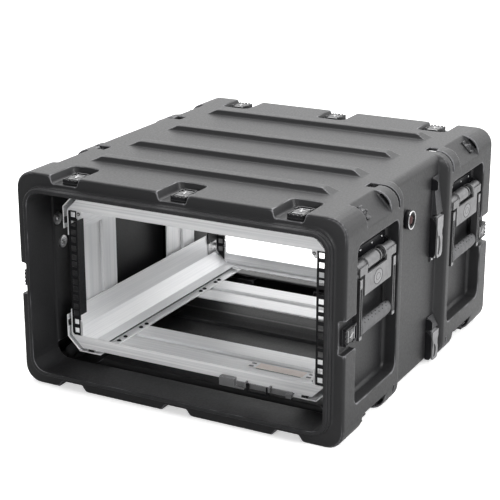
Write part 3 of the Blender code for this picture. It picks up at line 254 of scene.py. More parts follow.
def mill_aluminium(name, stretch, shade=0.97, depth=0.11, metallic=0.35, beads=False):
    """Mill-finish sheet with fine rolling lines along one direction, a painted highlight along its cut
    edges and, with beads, runner beads painted near-black as painted shade.
    """
    shader = Shader(name, metallic=metallic)
    lines = shader.noise(1.0, 4.0, stretch=stretch, roughness=0.65)
    low = tuple(shade * (1 - depth + blue) for blue in (0.0, 0.01, 0.02))
    high = (min(1.0, shade * 1.05),) * 3
    fine = shader.ramp(lines, [(0.35, low), (0.65, high)])
    tint = shader.ramp(shader.noise(9.0, 3.0), [(0.3, (0.94, 0.94, 0.95)), (0.7, (1.0, 1.0, 1.0))])
    # Painted highlight: white along the cut edges.
    sheet = shader.painted_edge_highlight(shader.mixed(1.0, fine, tint, "MULTIPLY"), (1.0, 1.0, 1.0), 0.0008, 0.9)
    # Painted shade: the runner beads inside the corner angles are painted near-black.
    if beads:
        sheet = shader.mixed(shader.inside_sheet(), sheet, (0.012, 0.012, 0.013))
    shader.colour(sheet)
    shader.roughness(shader.value_range(lines, 0.34, 0.50))
    shader.bump(lines, 0.00004, 0.5)
    return shader.material


def powder_coat(name, colour, rough=0.42):
    """Black powder-coated or painted steel with a fine pebble and a painted highlight along its edges.
    """
    shader = Shader(name, specular=0.2)
    lighter = tuple(channel * 1.35 for channel in colour)
    base = shader.ramp(shader.noise(90.0, 3.0), [(0.3, colour), (0.7, lighter)])
    # Painted highlight: a grey line along the edges.
    shader.colour(shader.painted_edge_highlight(base, (0.14, 0.14, 0.14), 0.0006, 0.5))
    shader.roughness(shader.value_range(shader.noise(240.0, 2.0), rough - 0.06, rough + 0.08))
    shader.bump(shader.cells(1400.0), 0.00005, 0.5)
    return shader.material


def cast_metal(name, colour, rough, painted_arm_shade=False, edge=1.7):
    """Zinc-plated or die-cast metal, matte, with a faint grain, a painted highlight along the edges
    brighter by a factor, and handle arms that can be painted dark as painted shade.
    """
    shader = Shader(name, metallic=0.7)
    lighter = tuple(min(1.0, channel * 1.15) for channel in colour)
    base = shader.ramp(shader.noise(40.0, 5.0), [(0.3, colour), (0.7, lighter)])
    # Painted shade: the handle arms are darkened, standing in for the shade inside their channel.
    if painted_arm_shade:
        base = shader.mixed(shader.outside_plate(), base, (0.055, 0.055, 0.057))
    # Painted highlight: edges brightened by the factor.
    highlight_colour = tuple(min(1.0, channel * edge) for channel in colour)
    shader.colour(shader.painted_edge_highlight(base, highlight_colour, 0.0007, 0.7))
    shader.roughness(shader.value_range(shader.noise(120.0, 4.0), rough - 0.07, rough + 0.1))
    shader.bump(shader.noise(700.0, 3.0), 0.00006, 0.5)
    return shader.material


def bright_steel(name, shade, rough):
    """Bare or plated steel for screws, strikes, claws and gussets."""
    shader = Shader(name, metallic=1.0)
    low = (shade * 0.85, shade * 0.85, shade * 0.86)
    high = (shade, shade, shade * 1.01)
    shader.colour(shader.ramp(shader.noise(300.0, 3.0), [(0.3, low), (0.7, high)]))
    shader.roughness(shader.value_range(shader.noise(500.0, 3.0), rough - 0.05, rough + 0.12))
    shader.bump(shader.noise(1800.0, 2.0), 0.00002, 0.4)
    return shader.material


def soft_rubber(name, colour):
    """Matte moulded rubber with a fine grain."""
    shader = Shader(name, specular=0.3)
    lighter = tuple(channel * 1.4 for channel in colour)
    shader.colour(shader.ramp(shader.noise(60.0, 4.0), [(0.3, colour), (0.7, lighter)]))
    shader.roughness(shader.value_range(shader.noise(180.0, 3.0), 0.62, 0.8))
    shader.bump(shader.noise(1100.0, 3.0), 0.00008, 0.6)
    return shader.material


def sticker(name, colour):
    """Blank printed film with a faint sheen."""
    shader = Shader(name, specular=0.5)
    darker = tuple(channel * 0.93 for channel in colour)
    shader.colour(shader.ramp(shader.noise(120.0, 3.0), [(0.3, darker), (0.7, colour)]))
    shader.roughness(shader.value_range(shader.noise(300.0, 2.0), 0.32, 0.45))
    shader.bump(shader.noise(700.0, 2.0), 0.00002, 0.3)
    return shader.material


PLASTIC = moulded_plastic("moulded_plastic", (0.0155, 0.0155, 0.0165), (0.0185, 0.0185, 0.0195))
RIM_PLASTIC = powder_coat("rim_plastic", (0.018, 0.018, 0.019), 0.46)
ALONG_X = mill_aluminium("aluminium_along_x", (2.0, 420.0, 420.0), 0.90, 0.20)
ALONG_Y = mill_aluminium("aluminium_along_y", (700.0, 3.0, 700.0))
ANGLE_METAL = mill_aluminium("aluminium_angle", (700.0, 3.0, 700.0), beads=True)
HOOP_METAL = mill_aluminium("aluminium_hoop", (2.0, 260.0, 2.0), 1.0, 0.14, 0.2)
RAIL_BLACK = powder_coat("rail_powder_coat", (0.006, 0.006, 0.007))
PART_BLACK = powder_coat("hardware_black", (0.006, 0.006, 0.007), 0.38)
DARK_GREY = powder_coat("strap_grey", (0.028, 0.028, 0.030), 0.42)
HANDLE_GREY = cast_metal("handle_cast", (0.165, 0.165, 0.168), 0.50, painted_arm_shade=True)
CAP_GREY = cast_metal("handle_cap", (0.22, 0.22, 0.224), 0.50)
LATCH_GREY = cast_metal("latch_plated", (0.21, 0.21, 0.215), 0.42)
# The catch and the studs carry a strong painted highlight along their edges.
CATCH_METAL = cast_metal("catch_plated", (0.24, 0.24, 0.245), 0.40, edge=4.0)
STUD_METAL = cast_metal("stud_plated", (0.05, 0.05, 0.052), 0.40, edge=3.0)
BRIGHT = bright_steel("bright_plated", 0.66, 0.30)
STRIKE = bright_steel("strike_plated", 0.10, 0.40)
CLAW = bright_steel("claw_plated", 0.40, 0.34)
GUSSET_STEEL = bright_steel("gusset_plated", 0.85, 0.42)
GRIP = soft_rubber("grip_rubber", (0.085, 0.085, 0.088))
ISOLATOR = soft_rubber("isolator_rubber", (0.016, 0.016, 0.017))
BUTTON_RED = soft_rubber("valve_button", (0.035, 0.008, 0.008))
LABEL_WHITE = sticker("label_white", (0.99, 0.98, 0.97))
LABEL_TINT = sticker("label_tint", (0.97, 0.83, 0.75))
LABEL_MARK = sticker("label_mark", (0.04, 0.04, 0.045))

FINISHES = {
    "cross_plate": (ALONG_X, "frame_aluminium"),
    "side_member": (ALONG_Y, "frame_aluminium"),
    "corner_angle": (ANGLE_METAL, "frame_aluminium"),
    "hoop": (HOOP_METAL, "frame_aluminium"),
    "rack_rail": (RAIL_BLACK, "rail_black"),
    "release_catch": (CATCH_METAL, "frame_aluminium"),
    "release_pull": (PART_BLACK, "release_steel"),
    "isolator": (ISOLATOR, "isolator_rubber"),
    "handle_base": (PART_BLACK, "handle_base_steel"),
    "handle_frame": (HANDLE_GREY, "handle_metal"),
    "handle_grip": (GRIP, "grip_rubber"),
    "latch_base": (DARK_GREY, "latch_black"),
    "latch_lever": (LATCH_GREY, "latch_grey"),
    "valve_body": (PART_BLACK, "valve_black"),
    "valve_button": (BUTTON_RED, "valve_button"),
    "corner_stud": (STUD_METAL, "stud_metal"),
    "shell": (PLASTIC, "shell_plastic"),
}


# ---------------------------------------------------------------- mesh helpers
def outline_rounded(half_u, half_v, radius, steps=5):
    """Rectangle centred on zero with round corners."""
    points = []
    for sign_u, sign_v, start in ((1, -1, -90), (1, 1, 0), (-1, 1, 90), (-1, -1, 180)):
        for step in range(steps + 1):
            angle = math.radians(start + 90 * step / steps)
            u = sign_u * (half_u - radius) + radius * math.cos(angle)
            v = sign_v * (half_v - radius) + radius * math.sin(angle)
            points.append((u, v))
    return points


def outline_circle(radius, segments=24):
    """Circle centred on zero."""
    angles = [2 * math.pi * step / segments for step in range(segments)]
    return [(radius * math.cos(a), radius * math.sin(a)) for a in angles]


def loft(bm, loops, ends="capped"):
    """Skin a row of equal loops; its two ends are capped, joined in a ring or left open."""
    rows = [[bm.verts.new(point) for point in loop] for loop in loops]
    pairs = list(zip(rows, rows[1:]))
    if ends == "ring":
        pairs.append((rows[-1], rows[0]))
    elif ends == "capped":
        bm.faces.new(rows[0])
        bm.faces.new(rows[-1])
    for first, second in pairs:
        for index in range(len(first)):
            following = (index + 1) % len(first)
            bm.faces.new((first[index], first[following], second[following], second[index]))


def slab(bm, outline, low, high, shift=(0, 0)):
    """Extrude an outline along local Z."""
    levels = [[Vector((u + shift[0], v + shift[1], z)) for u, v in outline] for z in (low, high)]
    loft(bm, levels)


def turned(bm, profile, segments=24, ends="capped"):
    """Body of revolution about local Z from (radius, height) pairs."""
    loops = []
    for radius, height in profile:
        loops.append([Vector((u, v, height)) for u, v in outline_circle(radius, segments)])
    loft(bm, loops, ends)


def mesh_from(name, draw, *arguments):
    """Mesh drawn by a function, with its faces pointing out."""
    bm = bmesh.new()
    draw(bm, *arguments)
    bm.normal_update()
    bmesh.ops.recalc_face_normals(bm, faces=bm.faces)
    mesh = bpy.data.meshes.new(name)
    bm.to_mesh(mesh)
    bm.free()
    return mesh


class Assembly:
    """Several drawn shapes, each with its own material, joined in one mesh."""

    def __init__(self, name):
        self.mesh = bpy.data.meshes.new(name)
        self.joined = bmesh.new()

    def add(self, finish, draw, *arguments, at=None):
        """Draw a shape and take it in; at is its placement in the assembly."""
        shape = mesh_from("shape", draw, *arguments)
        if at is not None:
            shape.transform(at)
        if finish.name not in self.mesh.materials:
            self.mesh.materials.append(finish)
        index = self.mesh.materials.find(finish.name)
        for polygon in shape.polygons:
            polygon.material_index = index
        self.joined.from_mesh(shape)
        bpy.data.meshes.remove(shape)
        return self

    def done(self):
        """The finished mesh, smooth with sharp corners."""
        self.joined.to_mesh(self.mesh)
        self.joined.free()
        self.mesh.shade_smooth()
        self.mesh.set_sharp_from_angle(angle=SMOOTH_ANGLE)
        return self.mesh


def shifted(x, y, z):
    """Plain shift in millimetres."""
    return Matrix.Translation((x * MM, y * MM, z * MM))


def facing(origin, normal, along):
    """Placement with local Z on the normal and local Y as near as can be to along."""
    z_axis = Vector(normal).normalized()
    x_axis = Vector(along).cross(z_axis).normalized()
    y_axis = z_axis.cross(x_axis)
    rotation = Matrix((x_axis, y_axis, z_axis)).transposed().to_4x4()
    return Matrix.Translation(Vector(origin)) @ rotation


def place(name, mesh, body, placement=None, bevel=0.0):
    """Put a mesh in the scene as one piece that rides on a CAD body."""
    piece = bpy.data.objects.new(name, mesh)
    bpy.context.scene.collection.objects.link(piece)
    if placement is not None:
        piece.matrix_world = placement
    if bevel:
        soften(piece, bevel)
    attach(piece, body)


def soften(piece, width):
    """Rounded edges, as a modifier."""
    modifier = piece.modifiers.new("edge", "BEVEL")
    modifier.width = width
    modifier.segments = 2
    modifier.limit_method = "ANGLE"
    modifier.angle_limit = SMOOTH_ANGLE
    weighted = piece.modifiers.new("normals", "WEIGHTED_NORMAL")
    weighted.keep_sharp = True


# ---------------------------------------------------------------- CAD nodes
# Width in metres of the rounded edges of each family that has them.
EDGE_WIDTHS = {
    "cross_plate": 0.0004,
    "side_member": 0.0004,
    "corner_angle": 0.0004,
    "hoop": 0.0006,
    "rack_rail": 0.0003,
    "release_catch": 0.0004,
    "release_pull": 0.0005,
    "handle_base": 0.0004,
    "handle_frame": 0.0005,
    "latch_base": 0.0004,
    "latch_lever": 0.0004,
}


def family(node_name):
    """The finish family a CAD node belongs to."""
    return next(key for key in FINISHES if node_name.startswith(key))


def weld_points(piece):
    """Join the points that neighbouring facets share, as a modifier."""
    weld = piece.modifiers.new("weld", "WELD")
    weld.merge_threshold = 0.00001


def finish_cad_nodes():
    """Material, smooth shading and fine edges for every CAD node."""
    for name, node in NODES.items():
        kind = family(name)
        material, slot = FINISHES[kind]
        node.data.materials.clear()
        node.data.materials.append(material)
        node.data.shade_smooth()
        node.data.set_sharp_from_angle(angle=SMOOTH_ANGLE)
        if kind == "shell":
            continue
        weld_points(node)
        if kind in EDGE_WIDTHS:
            soften(node, EDGE_WIDTHS[kind])


def store_bulge(mesh):
    """Mean slope from each vertex down to its neighbours, against the vertex normal."""
    count = len(mesh.vertices)
    points = np.empty(count * 3)
    mesh.vertices.foreach_get("co", points)
    points = points.reshape(count, 3)
    normals = np.empty(count * 3, dtype=np.float32)
    mesh.vertex_normals.foreach_get("vector", normals)
    normals = normals.reshape(count, 3)
    ends = np.empty(len(mesh.edges) * 2, dtype=np.int32)
    mesh.edges.foreach_get("vertices", ends)
    first, second = ends.reshape(-1, 2).T
    step = points[second] - points[first]
    step /= np.linalg.norm(step, axis=1)[:, None] + 1e-12
    total = np.zeros(count)
    np.add.at(total, first, -np.sum(step * normals[first], axis=1))
    np.add.at(total, second, np.sum(step * normals[second], axis=1))
    neighbours = np.bincount(ends, minlength=count)
    values = (total / np.maximum(neighbours, 1)).astype(np.float32)
    mesh.attributes.new("bulge", "FLOAT", "POINT").data.foreach_set("value", values)


def soft_shell():
    """The moulded shell with the soft, rounded edges of a rotational moulding."""
    source = NODES["shell"]
    mesh = source.data.copy()
    mesh.name = "moulded_shell"
    piece = bpy.data.objects.new("moulded_shell", mesh)
    bpy.context.scene.collection.objects.link(piece)
    weld_points(piece)
    remesh = piece.modifiers.new("remesh", "REMESH")
    remesh.mode = "VOXEL"
    remesh.voxel_size = 0.0016
    smooth = piece.modifiers.new("smooth", "SMOOTH")
    smooth.factor = 0.5
    smooth.iterations = 2
    decimate = piece.modifiers.new("decimate", "DECIMATE")
    decimate.ratio = 0.12
    graph = bpy.context.evaluated_depsgraph_get()
    finished = bpy.data.meshes.new_from_object(piece.evaluated_get(graph))
    piece.modifiers.clear()
    piece.data = finished
    finished.materials.clear()
    finished.materials.append(PLASTIC)
    finished.shade_smooth()
    store_bulge(finished)
    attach(piece, "case")
    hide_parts("shell")


# ---------------------------------------------------------------- gasket tongues
OPENING_HALF_WIDTH = 273.0
OPENING_HALF_HEIGHT = 159.0
OPENING_RADIUS = 24.0
# Each step is an offset outward from the opening and a y.
TONGUE_STEPS = (
    (0.15, -340.4),
    (0.9, -340.5),
    (5.4, -340.5),
    (6.65, -339.2),
    (6.65, -333.4),
    (8.8, -332.2),
    (8.8, -325.2),
)


def draw_tongue(bm):
    """Stepped skin over the front tongue, from the opening's edge to the end face."""
    loops = []
    for offset, y in TONGUE_STEPS:
        half_u = OPENING_HALF_WIDTH + offset
        half_v = OPENING_HALF_HEIGHT + offset
        outline = outline_rounded(half_u * MM, half_v * MM, (OPENING_RADIUS + offset) * MM, 8)
        loops.append([Vector((u, y * MM, v + MID_Z * MM)) for u, v in outline])
    loft(bm, loops, "open")


def make_tongues():
    """Crisp stepped rim of the gasket tongue round each opening."""
    tongue = Assembly("tongue").add(RIM_PLASTIC, draw_tongue).done()
    place("tongue_front", tongue, "case", None, 0.0005)
    half_turn = Matrix.Rotation(math.pi, 4, "Z")
    place("tongue_rear", tongue, "case", half_turn, 0.0005)


# ---------------------------------------------------------------- fasteners
def draw_socket_screw(bm, radius):
    """Button-head screw with a hexagon socket, standing on z = 0."""
    height = radius * 0.55
    segments = 18
    profile = [
        (radius, 0.0),
        (radius, height * 0.25),
        (radius * 0.93, height * 0.6),
        (radius * 0.72, height * 0.9),
        (radius * 0.50, height),
    ]
    loops = [[Vector((u, v, z)) for u, v in outline_circle(r, segments)] for r, z in profile]
    hexagon = []
    for step in range(segments):
        angle = 2 * math.pi * step / segments
        flat = math.cos(math.pi / 6) / math.cos((angle % (math.pi / 3)) - math.pi / 6)
        hexagon.append((math.cos(angle) * flat * radius * 0.44, math.sin(angle) * flat * radius * 0.44))
    loops.append([Vector((u, v, height)) for u, v in hexagon])
    loops.append([Vector((u, v, height * 0.35)) for u, v in hexagon])
    loft(bm, loops)


def draw_washer(bm, radius):
    """Thick washer with a raised, chamfered rim."""
    profile = [
        (radius, 0.0),
        (radius, 1.2 * MM),
        (radius * 0.94, 1.6 * MM),
        (radius * 0.62, 1.6 * MM),
        (radius * 0.60, 1.0 * MM),
    ]
    turned(bm, profile)


def draw_rivet(bm, radius):
    """Domed rivet head."""
    profile = [(radius, 0.0)]
    for step in range(1, 5):
        angle = math.radians(90 * step / 5)
        profile.append((radius * math.cos(angle), radius * 0.45 * math.sin(angle)))
    turned(bm, profile, 16)


# ---------------------------------------------------------------- lid keepers
KEEPER_LENGTH = 45 * MM
SIDE_KEEPER_LENGTH = 41 * MM
KEEPER_HALF_WIDTH = 14.2 * MM
KEEPER_INSET = 4 * MM
SIDE_KEEPER_INSET = 7 * MM
POCKET_START = 15 * MM
TOP_POCKET_FLOOR = 363.4
SIDE_POCKET_FLOOR = 291.4
SIDE_KEEPER_Z = 186.0
TOP_KEEPERS_X = (-205, 0, 205)
# The front keepers stand this far to the right, and the rear ones to the left.
TOP_KEEPER_SHIFT = 8
KEEPER_TO_FOOT = 10 * MM


def draw_keeper_tray(bm, length):
    """Base plate, two stepped cheeks and two end walls of a keeper, inward along +Y."""
    half = KEEPER_HALF_WIDTH
    middle = length / 2 + 1.5 * MM
    slab(bm, outline_rounded(half, middle, 2 * MM), 0, 2.5 * MM, (0, middle))
    for side in (-1, 1):
        cheek = outline_rounded(1.5 * MM, length / 2 - MM, MM)
        slab(bm, cheek, 2 * MM, 8.8 * MM, (side * (half - 1.7 * MM), length / 2))
        horn = outline_rounded(1.5 * MM, length / 8, MM)
        slab(bm, horn, 8 * MM, 10.2 * MM, (side * (half - 1.7 * MM), length * 0.72))
    slab(bm, outline_rounded(half - 3.4 * MM, 1.6 * MM, MM), 2 * MM, 7.6 * MM, (0, 2.4 * MM))
    for x in (-7 * MM, 0, 7 * MM):
        slab(bm, outline_rounded(1.8 * MM, 1.8 * MM, 0.8 * MM), 7 * MM, 9.0 * MM, (x, 2.6 * MM))
    slab(bm, outline_rounded(half - 3.4 * MM, 1.5 * MM, MM), 2 * MM, 9.6 * MM, (0, length - 3 * MM))


def draw_keeper_strike(bm, length):
    """Sprung strike, arched along its length, between the cheeks."""
    half = KEEPER_HALF_WIDTH - 4.0 * MM
    loops = []
    steps = 8
    for step in range(steps + 1):
        along = step / steps
        y = 6 * MM + along * (length - 12 * MM)
        z = 5.6 * MM + 2.6 * MM * math.sin(math.pi * along)
        corners = ((-half, z), (half, z), (half, z + MM), (-half, z + MM))
        loops.append([Vector((u, y, height)) for u, height in corners])
    loft(bm, loops)


def draw_keeper_claws(bm, length):
    """Two curved claws, bent opposite ways, and a straight bar at each end of the strike."""
    for start, side in ((-25, -1), (155, 1)):
        loops = []
        steps = 10
        for step in range(steps + 1):
            angle = math.radians(start + 140 * step / steps)
            spoke = Vector((math.cos(angle), math.sin(angle), 0))
            centre = Vector((side * 4.0 * MM, (0.5 + side * 0.14) * length, 9.0 * MM))
            middle = centre + spoke * 6.2 * MM
            half = 1.3 * MM * math.sin(math.pi * (0.14 + 0.72 * step / steps))
            corners = ((-half, -1.6 * MM), (half, -1.6 * MM), (half, 0.7 * MM), (-half, 0.7 * MM))
            loops.append([middle + spoke * across + Vector((0, 0, up)) for across, up in corners])
        loft(bm, loops)
    for y in (0.22, 0.78):
        slab(bm, outline_rounded(10 * MM, 1.0 * MM, 0.9 * MM), 6 * MM, 8.6 * MM, (0, y * length))


def keeper_mesh(name, length):
    """One keeper in a single mesh."""
    keeper = Assembly(name)
    keeper.add(PART_BLACK, draw_keeper_tray, length)
    keeper.add(STRIKE, draw_keeper_strike, length)
    keeper.add(CLAW, draw_keeper_claws, length)
    return keeper.done()


def draw_keeper_foot(bm):
    """Screwed foot plate inward of a keeper."""
    slab(bm, outline_rounded(11 * MM, 6.5 * MM, 2 * MM), 0, 2.0 * MM)


def make_keepers():
    """Keepers in the top and side lid pockets; the pockets underneath are left empty."""
    upper = keeper_mesh("keeper", KEEPER_LENGTH)
    side_keeper = keeper_mesh("side_keeper", SIDE_KEEPER_LENGTH)
    foot = Assembly("keeper_foot").add(PART_BLACK, draw_keeper_foot)
    for x in (-6, 6):
        foot.add(BRIGHT, draw_socket_screw, 2.1 * MM, at=shifted(x, 0.5, 2.0))
    foot = foot.done()
    pocket_y = CAD_BOX[1][1] - POCKET_START
    for end, inward in (("front", 1), ("rear", -1)):
        turn = facing((0, 0, 0), (0, 0, 1), (0, inward, 0))
        start_y = -inward * (pocket_y - KEEPER_INSET)
        for number, x in enumerate(TOP_KEEPERS_X, start=1):
            start_x = (x + TOP_KEEPER_SHIFT * inward) * MM
            start = Vector((start_x, start_y, TOP_POCKET_FLOOR * MM))
            place(f"keeper_{end}_top_{number}", upper, "case", Matrix.Translation(start) @ turn, 0.0004)
            start += Vector((0, inward * (KEEPER_LENGTH + KEEPER_TO_FOOT), 0))
            place(f"keeper_foot_{end}_{number}", foot, "case", Matrix.Translation(start) @ turn, 0.0003)
        start_y = -inward * (pocket_y - SIDE_KEEPER_INSET)
        for side, sign in SIDES.items():
            start = (sign * SIDE_POCKET_FLOOR * MM, start_y, SIDE_KEEPER_Z * MM)
            spot = facing(start, (sign, 0, 0), (0, inward, 0))
            place(f"keeper_{end}_{side}", side_keeper, "case", spot, 0.0004)


# ---------------------------------------------------------------- handles
# Drops are measured down from the hinge, and the plate face out from it.
HANDLE_PLATE_FACE = 10.6
HANDLE_BADGE_DROP = 30.4
HANDLE_ARM_X = 65.5
HANDLE_CAPS = ((7.2, 24.2), (2.6, 113.4))  # half height and drop of each arm's two caps
GRIP_BUMPS_DROP = 94.6
GRIP_BUMPS_OUT = 7.6
HANDLE_BASE_SCREWS_X = (-62, -22, 22, 62)
# x and z of the base screws, then y and z of the bolts on the inner wall.
HANDLE_BASE_FLOOR = (279.3, 284.5)
INNER_WALL_X = 271.0
INNER_BOLT_SPOTS = ((256, 279), (243, 234), (148, 279), (161, 234))


def draw_oval_ring(bm, radius_u, radius_v, half_width, height):
    """Low plain oval ring on z = 0."""
    loops = []
    for step in range(40):
        angle = 2 * math.pi * step / 40
        spoke = Vector((math.cos(angle), math.sin(angle), 0))
        middle = Vector((radius_u * spoke.x, radius_v * spoke.y, 0))
        loop = []
        for turn in range(8):
            swing = 2 * math.pi * turn / 8
            lift = Vector((0, 0, height * math.sin(swing)))
            loop.append(middle + spoke * half_width * math.cos(swing) + lift)
        loops.append(loop)
    loft(bm, loops, "ring")


def draw_oval_plate(bm, radius_u, radius_v, height):
    """Flat oval plate."""
    slab(bm, [(u * radius_u, v * radius_v) for u, v in outline_circle(1.0, 36)], -0.4 * MM, height)


def helix_points(radius, length, turns):
    """Points of a helix along local Z."""
    steps_per_turn = 16
    count = turns * steps_per_turn
    points = []
    for step in range(count + 1):
        angle = 2 * math.pi * step / steps_per_turn
        height = length * step / count
        points.append(Vector((radius * math.cos(angle), radius * math.sin(angle), height)))
    return points


def draw_wire(bm, points, radius):
    """Six-sided wire through a row of points."""
    sides = 6
    loops = []
    for index, point in enumerate(points):
        before = points[max(index - 1, 0)]
        after = points[min(index + 1, len(points) - 1)]
        tangent = (after - before).normalized()
        side = tangent.cross(Vector((0, 0, 1)))
        if side.length < 1e-6:
            side = tangent.cross(Vector((1, 0, 0)))
        side.normalize()
        up = side.cross(tangent)
        loop = []
        for turn in range(sides):
            angle = 2 * math.pi * turn / sides
            loop.append(point + (side * math.cos(angle) + up * math.sin(angle)) * radius)
        loops.append(loop)
    loft(bm, loops)


def draw_coil(bm, radius, length):
    """Return spring round the hinge barrel's neck."""
    draw_wire(bm, helix_points(radius, length, 7), 0.8 * MM)


def draw_bumps(bm, spacing):
    """Two rows of small raised bumps along the grip."""
    for row in (0, 1):
        for step in range(-3, 4):
            centre = Vector(((step + row * 0.5) * spacing, row * 4.2 * MM, 0))
            loops = []
            for radius, height in ((1.5, -0.8), (1.3, 0.4), (0.7, 0.8)):
                loop = [centre + Vector((u, v, height * MM)) for u, v in outline_circle(radius * MM, 10)]
                loops.append(loop)
            loft(bm, loops)


def handle_swinging_mesh():
    """Badge, coil, arm caps and grip bumps; +X along the handle, +Y up, +Z out of the wall."""
    details = Assembly("handle_details")
    badge = shifted(0, -HANDLE_BADGE_DROP, HANDLE_PLATE_FACE)
    details.add(DARK_GREY, draw_oval_ring, 16.5 * MM, 12.0 * MM, 0.8 * MM, 0.45 * MM, at=badge)
    details.add(CAP_GREY, draw_oval_plate, 15.4 * MM, 11.0 * MM, 0.12 * MM, at=badge)
    details.add(DARK_GREY, draw_oval_ring, 8.5 * MM, 5.6 * MM, 0.6 * MM, 0.40 * MM, at=badge)
    along = facing((5.0 * MM, 0, 0), (1, 0, 0), (0, 0, 1))
    details.add(PART_BLACK, draw_coil, 8.2 * MM, 23 * MM, at=along)
    for x in (-HANDLE_ARM_X, HANDLE_ARM_X):
        for half_height, drop in HANDLE_CAPS:
            cap = outline_rounded(4.6 * MM, half_height * MM, 0.6 * MM)
            spot = shifted(x, -drop, HANDLE_PLATE_FACE)
            details.add(CAP_GREY, slab, cap, -0.4 * MM, 0.3 * MM, at=spot)
    slope = Matrix.Rotation(math.radians(-48), 4, "X")
    grip = shifted(0, -GRIP_BUMPS_DROP, GRIP_BUMPS_OUT)
    details.add(PART_BLACK, draw_bumps, 14 * MM, at=grip @ slope)
    return details.done()


def make_handle_details():
    """Fittings that swing with the four drop handles, and the screws of their bases."""
    details = handle_swinging_mesh()
    screws = Assembly("handle_base_screws")
    for x in HANDLE_BASE_SCREWS_X:
        screws.add(BRIGHT, draw_socket_screw, 2.2 * MM, at=shifted(x, 13, 0))
    screws = screws.done()
    for end, direction in ENDS.items():
        for side, sign in SIDES.items():
            body = f"handle_{end}_{side}"
            y = direction * HANDLE_Y * MM
            pivot = (sign * HANDLE_PIVOT[0] * MM, y, HANDLE_PIVOT[1] * MM)
            place(f"{body}_fittings", details, body, facing(pivot, (sign, 0, 0), (0, 0, 1)))
            floor = (sign * HANDLE_BASE_FLOOR[0] * MM, y, HANDLE_BASE_FLOOR[1] * MM)
            place(f"{body}_base_screws", screws, "case", facing(floor, (sign, 0, 0), (0, 0, 1)))


def make_inner_bolts():
    """Washers and bolts of the handles, on the inside of the shell."""
    bolt = Assembly("inner_bolt")
    bolt.add(BRIGHT, draw_washer, 11.2 * MM)
    bolt.add(BRIGHT, draw_socket_screw, 4.2 * MM, at=shifted(0, 0, 1.2))
    bolt = bolt.done()
    for end, direction in ENDS.items():
        for side, sign in SIDES.items():
            for number, (y, z) in enumerate(INNER_BOLT_SPOTS, start=1):
                origin = (sign * INNER_WALL_X * MM, direction * y * MM, z * MM)
                spot = facing(origin, (-sign, 0, 0), (0, 0, 1))
                place(f"handle_{end}_{side}_inner_bolt_{number}", bolt, "case", spot)


# ---------------------------------------------------------------- frame hardware
# Half width and half height of the rack opening where the gussets sit.
GUSSET_CORNER = (224.2, 112.4)
FRONT_GUSSET_Y = -265.2
REAR_GUSSET_Y = 247.2
GUSSET_SCREW = (4.2, 5.0)
ANGLE_BOLT_X = 191.0
ANGLE_BOLTS_Y = (-198, -177, -125, -106, 92, 107, 150, 165)
# Inner face, y and half height of the joint plates.
JOINT_PLATE_SPOT = (241.8, 226.0, 93.5)
LABEL_SPOT = (120.0, -178.0, 45.9)


def draw_gusset(bm, lower):
    """Small corner gusset plate with one corner cut; the lower one is tall and narrow."""
    if lower:
        slab(bm, [(0, 0), (3.5 * MM, 0), (3.5 * MM, 24 * MM), (0, 28 * MM)], 0, 1.5 * MM)
        return
    outline = [(0, 0), (9 * MM, 0), (9 * MM, 4 * MM), (3 * MM, 13 * MM), (0, 13 * MM)]
    slab(bm, outline, 0, 1.5 * MM)


def make_gussets():
    """Screwed gusset where each rail meets a cross plate."""
    for level, lift in LEVELS.items():
        gusset = Assembly(f"gusset_{level}").add(GUSSET_STEEL, draw_gusset, level == "lower")
        if level == "upper":
            gusset.add(PART_BLACK, draw_washer, 3.0 * MM, at=shifted(*GUSSET_SCREW, 0.6))
            gusset.add(BRIGHT, draw_socket_screw, 1.9 * MM, at=shifted(*GUSSET_SCREW, 1.8))
        mesh = gusset.done()
        for side, sign in SIDES.items():
            for end, inward, plane in (("front", 1, FRONT_GUSSET_Y), ("rear", -1, REAR_GUSSET_Y)):
                corner = Vector((sign * GUSSET_CORNER[0], plane, MID_Z + lift * GUSSET_CORNER[1])) * MM
                columns = (Vector((-sign, 0, 0)), Vector((0, 0, -lift)), Vector((0, -inward, 0)))
                turn = Matrix(columns).transposed().to_4x4()
                spot = Matrix.Translation(corner) @ turn
                place(f"gusset_{end}_{level}_{side}", mesh, "rack_frame", spot)


def make_angle_bolts():
    """Rows of black bolts along the corner angles of the sprung frame."""
    for side, sign in SIDES.items():
        for level, lift in LEVELS.items():
            row = Assembly(f"angle_bolts_{level}_{side}")
            turn = Matrix.Rotation(math.pi / 2 * (1 - lift), 4, "X")
            for y in ANGLE_BOLTS_Y:
                row.add(PART_BLACK, draw_socket_screw, 4.0 * MM, at=shifted(0, y, 0) @ turn)
            origin = shifted(sign * ANGLE_BOLT_X, 0, MID_Z - lift * ANGLE_INNER_LEVEL)
            place(f"angle_bolts_{level}_{side}", row.done(), "case", origin)


def make_joint_plates():
    """Riveted joint plates inside the rear end of each side member."""
    joint = Assembly("joint_plate")
    joint.add(BRIGHT, slab, outline_rounded(16 * MM, 16 * MM, 2 * MM, 3), 0, 1.5 * MM)
    for x in (-9, 9):
        for y in (-9, 9):
            joint.add(BRIGHT, draw_rivet, 2.6 * MM, at=shifted(x, y, 1.5))
    joint = joint.done()
    face_x, y, half_height = JOINT_PLATE_SPOT
    for side, sign in SIDES.items():
        for level, lift in LEVELS.items():
            origin = (sign * face_x * MM, y * MM, (MID_Z + lift * half_height) * MM)
            spot = facing(origin, (-sign, 0, 0), (0, 0, 1))
            place(f"joint_plate_{level}_{side}", joint, "rack_frame", spot, 0.0003)


